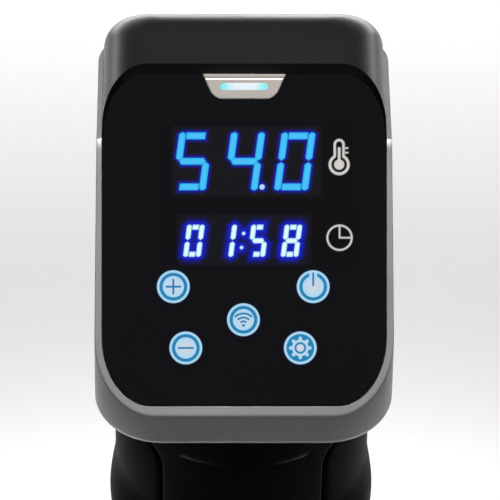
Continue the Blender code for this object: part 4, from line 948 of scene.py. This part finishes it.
def makeClamp():
    softenedCopy("clamp_bracket", nylon, width=0.9 * mm)
    low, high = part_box("clamp_jaw_pad")
    u = bunched(40)[None, :]
    w = np.linspace(-1, 1, 160)[:, None]
    x = (low.x + high.x) / 2 + u * (high.x - low.x) / 2 + 0 * w
    z = (low.z + high.z) / 2 + w * (high.z - low.z) / 2 + 0 * u
    fromEnd = (high.z - low.z) / 2 * (1 - np.abs(w))
    near = np.clip(np.minimum(high.x - np.abs(x), fromEnd) / (0.8 * mm), 0, 1)
    ridges = clamp["ridge"] * (0.5 - 0.5 * np.cos((z - low.z) / clamp["ridgePitch"] * tau)) * near
    y = high.y - ridges - 0.8 * mm * roundOver(near)
    points, faces = slabFromGrid(np.stack([x, y, z], -1), np.stack([x, np.full_like(x, low.y), z], -1))
    addPiece("clamp_jaw_ridges", points, faces, rubber, replaces=["clamp_jaw_pad"], slot="dark_rubber")

    low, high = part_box("clamp_pressure_pad")
    axisZ = (low.z + high.z) / 2
    r = high.x
    back = high.y - 0.1 * mm
    profile = filletRows([(0, low.y + 0.2 * mm), (r * 0.55, low.y + 0.2 * mm), (r * 0.6, low.y),
                          (r - 0.2 * mm, low.y), (r, low.y + 1.4 * mm), (r, back - 1.2 * mm),
                          (r - 1.5 * mm, back),
                          (4.6 * mm, back), (3.5 * mm, back - 0.4 * mm), (3.4 * mm, high.y - 2.8 * mm),
                          (0, high.y - 2.8 * mm)], 0.5 * mm)
    turnedPiece("clamp_pressure_foot", profile, rubber, centre=(0, 0, axisZ), along="y", body="clamp_pad",
                replaces=["clamp_pressure_pad"], slot="dark_rubber")

    low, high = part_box("clamp_screw")
    r = high.x
    rows = np.linspace(low.y, high.y, 260)
    profile = [(0, low.y)] + [(r, y) for y in rows] + [(0, high.y)]

    def thread(angle, height, radius):
        phase = (height / clamp["pitch"] - angle / tau) % 1
        cut = smoothstep(low.y + 2.2 * mm, low.y + 3.4 * mm, height)
        groove = clamp["threadDepth"] * (1 - np.abs(2 * phase - 1))
        return -(groove * cut + clamp["tipTaper"] * (1 - cut)) * (radius > 0)
    turnedPiece("clamp_screw_thread", profile, turnedSteel, count=48, centre=(0, 0, axisZ), along="y",
                ripple=thread, body="clamp_screw", replaces=["clamp_screw"], slot="steel", smooth=60)

    low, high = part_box("clamp_knob")
    r = (high.x - low.x) / 2
    length = high.y - low.y
    body = [(3.3 * mm, 8.3 * mm), (3.3 * mm, 0.0), (7 * mm, 0.0), (7.6 * mm, 1.2 * mm)]
    body += [(r - 1.0 * mm, 2.4 * mm), (r - 0.2 * mm, 3.2 * mm), (r, 4.6 * mm), (r, length - 2.4 * mm)]
    body += [(r - 0.5 * mm, length - 1.1 * mm)]
    body += [(r - 2.2 * mm, length - 0.25 * mm), (r - 4.2 * mm, length), (6.2 * mm, length - 0.5 * mm)]
    body += [(5.6 * mm, length - 1.2 * mm), (0.001 * mm, length - 1.2 * mm)]
    rows = [(0.001 * mm, 8.3 * mm)] + stepped(body, 0.8 * mm) + [body[-1]]

    def lobes(angle, height, radius):
        reach = smoothstep(7 * mm, r, radius)
        return -clamp["lobeDepth"] * reach * (0.5 - 0.5 * np.cos(angle * clamp["lobes"])) ** 1.6
    turnedPiece("clamp_knob_grip", rows, nylon, count=180, centre=(0, low.y, axisZ), along="y", ripple=lobes,
                body="clamp_screw", replaces=["clamp_knob"], slot="satin_black", smooth=40)


# A cap screw: round head with a six-sided socket; sign is the way its head faces along the axis.
def socketScrew(name, centre, along, sign, headRadius, headHeight, length, shank, body="root"):
    socket = headRadius * 0.52
    profile = [(0, headHeight * 0.35), (socket, headHeight * 0.35), (socket, headHeight - 0.15 * mm),
               (socket + 0.2 * mm, headHeight), (headRadius - 0.5 * mm, headHeight),
               (headRadius - 0.12 * mm, headHeight - 0.15 * mm), (headRadius, headHeight - 0.5 * mm),
               (headRadius, 0.15 * mm), (headRadius - 0.15 * mm, 0), (shank, 0), (shank, -length),
               (0, -length - 0.3 * mm)]
    rows = [(r, h * sign) for r, h in profile]

    def sixSides(angle, height, radius):
        wall = (radius > 0) & (radius < socket + 0.25 * mm) & (height * sign > headHeight * 0.2)
        flat = math.cos(math.pi / 6) / np.cos((angle % (tau / 6)) - math.pi / 6)
        return np.where(wall, -radius * (1 - flat), 0)
    turnedPiece(name + "_turned", rows, turnedSteel, count=72, centre=centre, along=along, ripple=sixSides,
                body=body, replaces=[name], slot="steel", smooth=30)


def makeScrews():
    for name in ("bracket_screw_low", "bracket_screw_high"):
        low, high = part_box(name)
        x, _, z = middleOf(name)
        socketScrew(name, (x, high.y - 2.4 * mm, z), "y", 1,
                    (high.x - low.x) / 2, 2.4 * mm, 11.4 * mm, 1.8 * mm)
    for name in ("cover_screw_left", "cover_screw_right"):
        low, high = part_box(name)
        x, y, _ = middleOf(name)
        socketScrew(name, (x, y, low.z + 1.9 * mm), "z", -1,
                    (high.x - low.x) / 2, 1.9 * mm, 14 * mm, 1.6 * mm)


makeClamp()
makeScrews()
print("clamp and screws made")


def makeGland():
    low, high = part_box("cord_gland")
    centre = (0, 0, (low.z + high.z) / 2)
    outer = (high.x - low.x) / 2
    seat = shellHigh.y + 0.2 * mm
    corners = [(3.6 * mm, high.y), (3.6 * mm, low.y), (6 * mm, low.y), (6 * mm, seat), (outer, seat),
               (outer, seat + 1.4 * mm), (outer - 2.2 * mm, high.y - 0.3 * mm), (4.6 * mm, high.y),
               (3.6 * mm, high.y)]
    profile = filletRows(corners, 0.5 * mm)[:-1]
    turnedPiece("cord_gland_bush", profile, rubber, centre=centre, along="y", ring=True,
                replaces=["cord_gland"], slot="dark_rubber")


makeGland()


# A round rod along a path: each ring stands square to the path, carried along without twist.
def sweptTube(name, path, radius, material, sides=20, **handed):
    path = np.asarray(path)
    tangent = np.gradient(path, axis=0)
    tangent /= np.linalg.norm(tangent, axis=1)[:, None]
    side = np.cross(tangent[0], [0.3, 1, 0.2])
    side /= np.linalg.norm(side)
    sidesList = []
    for t in tangent:
        side = side - t * (side @ t)
        side = side / np.linalg.norm(side)
        sidesList.append(side)
    first = np.array(sidesList)
    second = np.cross(tangent, first)
    angle = np.arange(sides) / sides * tau
    rings = path[:, None] + radius * (first[:, None] * np.cos(angle)[None, :, None]
                                      + second[:, None] * np.sin(angle)[None, :, None])
    points = np.concatenate([path[:1][None].repeat(sides, 1), rings, path[-1:][None].repeat(sides, 1)])
    return addPiece(name, points, gridFaces(len(points), sides, wrapColumns=True), material, **handed)


# One bent rod: a straight leg down, a helix, a turned end, and a return leg up the middle.
def makeCoil():
    coil = {"radius": 20 * mm, "rod": 3 * mm, "top": 120 * mm, "pitch": 13 * mm, "turns": 5.5,
            "back": 11.5 * mm}
    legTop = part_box("heater_coil")[1].z
    a = np.linspace(0, coil["turns"] * tau, 420)
    easing = np.clip(a / 0.7, 0, 1) ** 2
    start = 0.15 + 0.85 * np.clip(a / 0.5, 0, 1)
    helix = np.stack([coil["radius"] * np.cos(a), coil["radius"] * np.sin(a) * start,
                      coil["top"] - coil["pitch"] * a / tau * easing], -1)
    down = np.linspace(legTop, coil["top"] + 3 * mm, 30)
    leg = np.stack([np.full(30, coil["radius"]), np.zeros(30), down], -1)
    end = helix[-1, 2]
    bend = (coil["radius"] - coil["back"]) / 2
    t = np.linspace(0, math.pi, 24)[1:]
    hook = np.stack([-coil["radius"] + bend - bend * np.cos(t), -2.0 * mm * np.sin(t),
                     end - 1.5 * mm * np.sin(t / 2) + 5 * mm * (t / math.pi) ** 2], -1)
    up = np.linspace(hook[-1, 2] + 3 * mm, legTop, 40)
    back = np.stack([np.full(40, -coil["back"]), np.zeros(40), up], -1)
    path = np.concatenate([leg, helix, hook, back])
    for _ in range(3):
        path[1:-1] = (path[:-2] + 2 * path[1:-1] + path[2:]) / 4
    sweptTube("heater_coil_rod", path, coil["rod"], heaterSheath, replaces=["heater_coil"], slot="steel")


makeCoil()

for rodName in ("temperature_probe", "level_electrode_low", "level_electrode_high", "support_rod_front",
                "support_rod_rear"):
    low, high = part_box(rodName)
    r = (high.x - low.x) / 2
    tip = [(0, low.z), (r * 0.7, low.z + 0.15 * r), (r, low.z + 0.8 * r), (r, high.z - 0.2 * mm),
           (r - 0.2 * mm, high.z), (0, high.z)]
    turnedPiece(rodName + "_turned", tip, turnedSteel, count=40,
                centre=(*middleOf(rodName)[:2], 0), replaces=[rodName], slot="steel")

for shaftName in ("drive_shaft", "motor_shaft"):
    low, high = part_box(shaftName)
    r = (high.x - low.x) / 2
    tip = filletRows([(0, low.z), (r, low.z), (r, high.z), (0, high.z)], 0.4 * mm)
    turnedPiece(shaftName + "_turned", tip, turnedSteel, count=40, body="rotor", replaces=[shaftName],
                slot="steel")

for node, material, body, slot, width in (
        ("tube_flange", turnedSteel, "root", "steel", 0.3 * mm),
        ("shaft_guide", acetal, "root", "white_plastic", 0.3 * mm),
        ("lower_bush", bronze, "root", "copper", 0.2 * mm),
        ("flange_seal_ring", rubber, "root", "dark_rubber", 0),
        ("shaft_seal", rubber, "root", "dark_rubber", 0.2 * mm),
        ("impeller", greyPlastic, "rotor", "grey_plastic", 0.25 * mm),
        ("cooling_fan", greyPlastic, "rotor", "grey_plastic", 0.2 * mm),
        ("shaft_coupling", acetal, "rotor", "white_plastic", 0.3 * mm)):
    softenedCopy(node, material, body, width)

hidden = {
    "handle_core": nylon, "motor_can": turnedSteel, "motor_bracket": greyPlastic, "magnet_ring": rubber,
    "motor_rotor": bronze, "display_board": solderMask, "power_board": solderMask, "relay": greyPlastic,
    "transformer": acetal, "heat_sink": turnedSteel, "radio_module": turnedSteel, "buzzer": nylon,
    "head_screw_rear": turnedSteel, "head_screw_left": turnedSteel, "head_screw_right": turnedSteel,
}
for node, material in hidden.items():
    for slotIndex in range(max(len(nodes[node].material_slots), 1)):
        if not nodes[node].material_slots:
            nodes[node].data.materials.append(material)
        nodes[node].material_slots[slotIndex].material = material
print("inner parts finished")


# a plain floor, soft lights and the camera
studio = {"floor": "#fbfbfa", "distance": 1.0, "frameWidth": 124.07 * mm, "aimX": 1.42 * mm,
          "aimV": -2.6 * mm, "turn": math.radians(-0.7), "air": "#dfe2e6", "airStrength": 0.12, "reach": 6.0}
# a narrow soft beam from above shades the head, and three low lamps behind it whiten the floor
rearLow = {"aim": (0, 0.4, 0.02), "size": (0.9, 0.4), "power": 1.5, "spread": 110}
lamps = {
    "overhead": {"place": (0, -0.1, 1.9), "aim": (0, 0, 0.37), "size": (0.32, 0.26), "power": 0.86,
                 "spread": 13},
    "rearLeft": {"place": (-1.1, 1.3, 0.28), **rearLow},
    "rearRight": {"place": (1.1, 1.3, 0.28), **rearLow},
    "rearFloor": {"place": (0, 0.95, 0.22), "aim": (0, 0.35, 0), "size": (1.5, 0.25), "power": 6.0,
                  "spread": 110},
}


def areaLight(name, place, aim, size, power, spread):
    data = bpy.data.lights.new(name, "AREA")
    data.shape = "RECTANGLE"
    data.size, data.size_y = size
    data.energy = power
    data.spread = math.radians(spread)
    lamp = bpy.data.objects.new(name, data)
    bpy.context.scene.collection.objects.link(lamp)
    lamp.location = place
    direction = Vector(aim) - Vector(place)
    lamp.rotation_euler = direction.to_track_quat("-Z", "Y").to_euler()


def makeStudio():
    floorMesh = bpy.data.meshes.new("floor")
    reach = studio["reach"]
    corners = [(-reach, -reach, 0), (reach, -reach, 0), (reach, reach, 0), (-reach, reach, 0)]
    floorMesh.from_pydata(corners, [], [(0, 1, 2, 3)])
    paper = newMaterial("matPaper", {"Base Color": opaque(studio["floor"]), "Roughness": 0.9})[0]
    floorMesh.materials.append(paper)
    floor = bpy.data.objects.new("floor", floorMesh)
    bpy.context.scene.collection.objects.link(floor)
    world = bpy.data.worlds.new("softRoom")
    world.use_nodes = True
    air = world.node_tree.nodes["Background"]
    air.inputs["Color"].default_value = opaque(studio["air"])
    air.inputs["Strength"].default_value = studio["airStrength"]
    bpy.context.scene.world = world

    for name, lamp in lamps.items():
        areaLight(name, **lamp)

    aim = panelMiddle + np.array([studio["aimX"], 0, 0]) + upSlope * studio["aimV"]
    away = outward * math.cos(studio["turn"]) + np.array([1.0, 0, 0]) * math.sin(studio["turn"])
    lens = bpy.data.cameras.new("camera")
    lens.sensor_width = 36
    lens.lens = 36 * studio["distance"] / studio["frameWidth"]
    lens.clip_start = 0.01
    camera = bpy.data.objects.new("camera", lens)
    bpy.context.scene.collection.objects.link(camera)
    camera.location = aim + away * studio["distance"]
    right = np.array([1.0, 0, 0]) - away[0] * away
    right /= np.linalg.norm(right)
    camera.rotation_euler = Matrix(np.column_stack([right, np.cross(away, right), away])).to_euler()
    bpy.context.scene.camera = camera
    bpy.context.scene.view_settings.view_transform = "Standard"


makeStudio()
print("studio made")
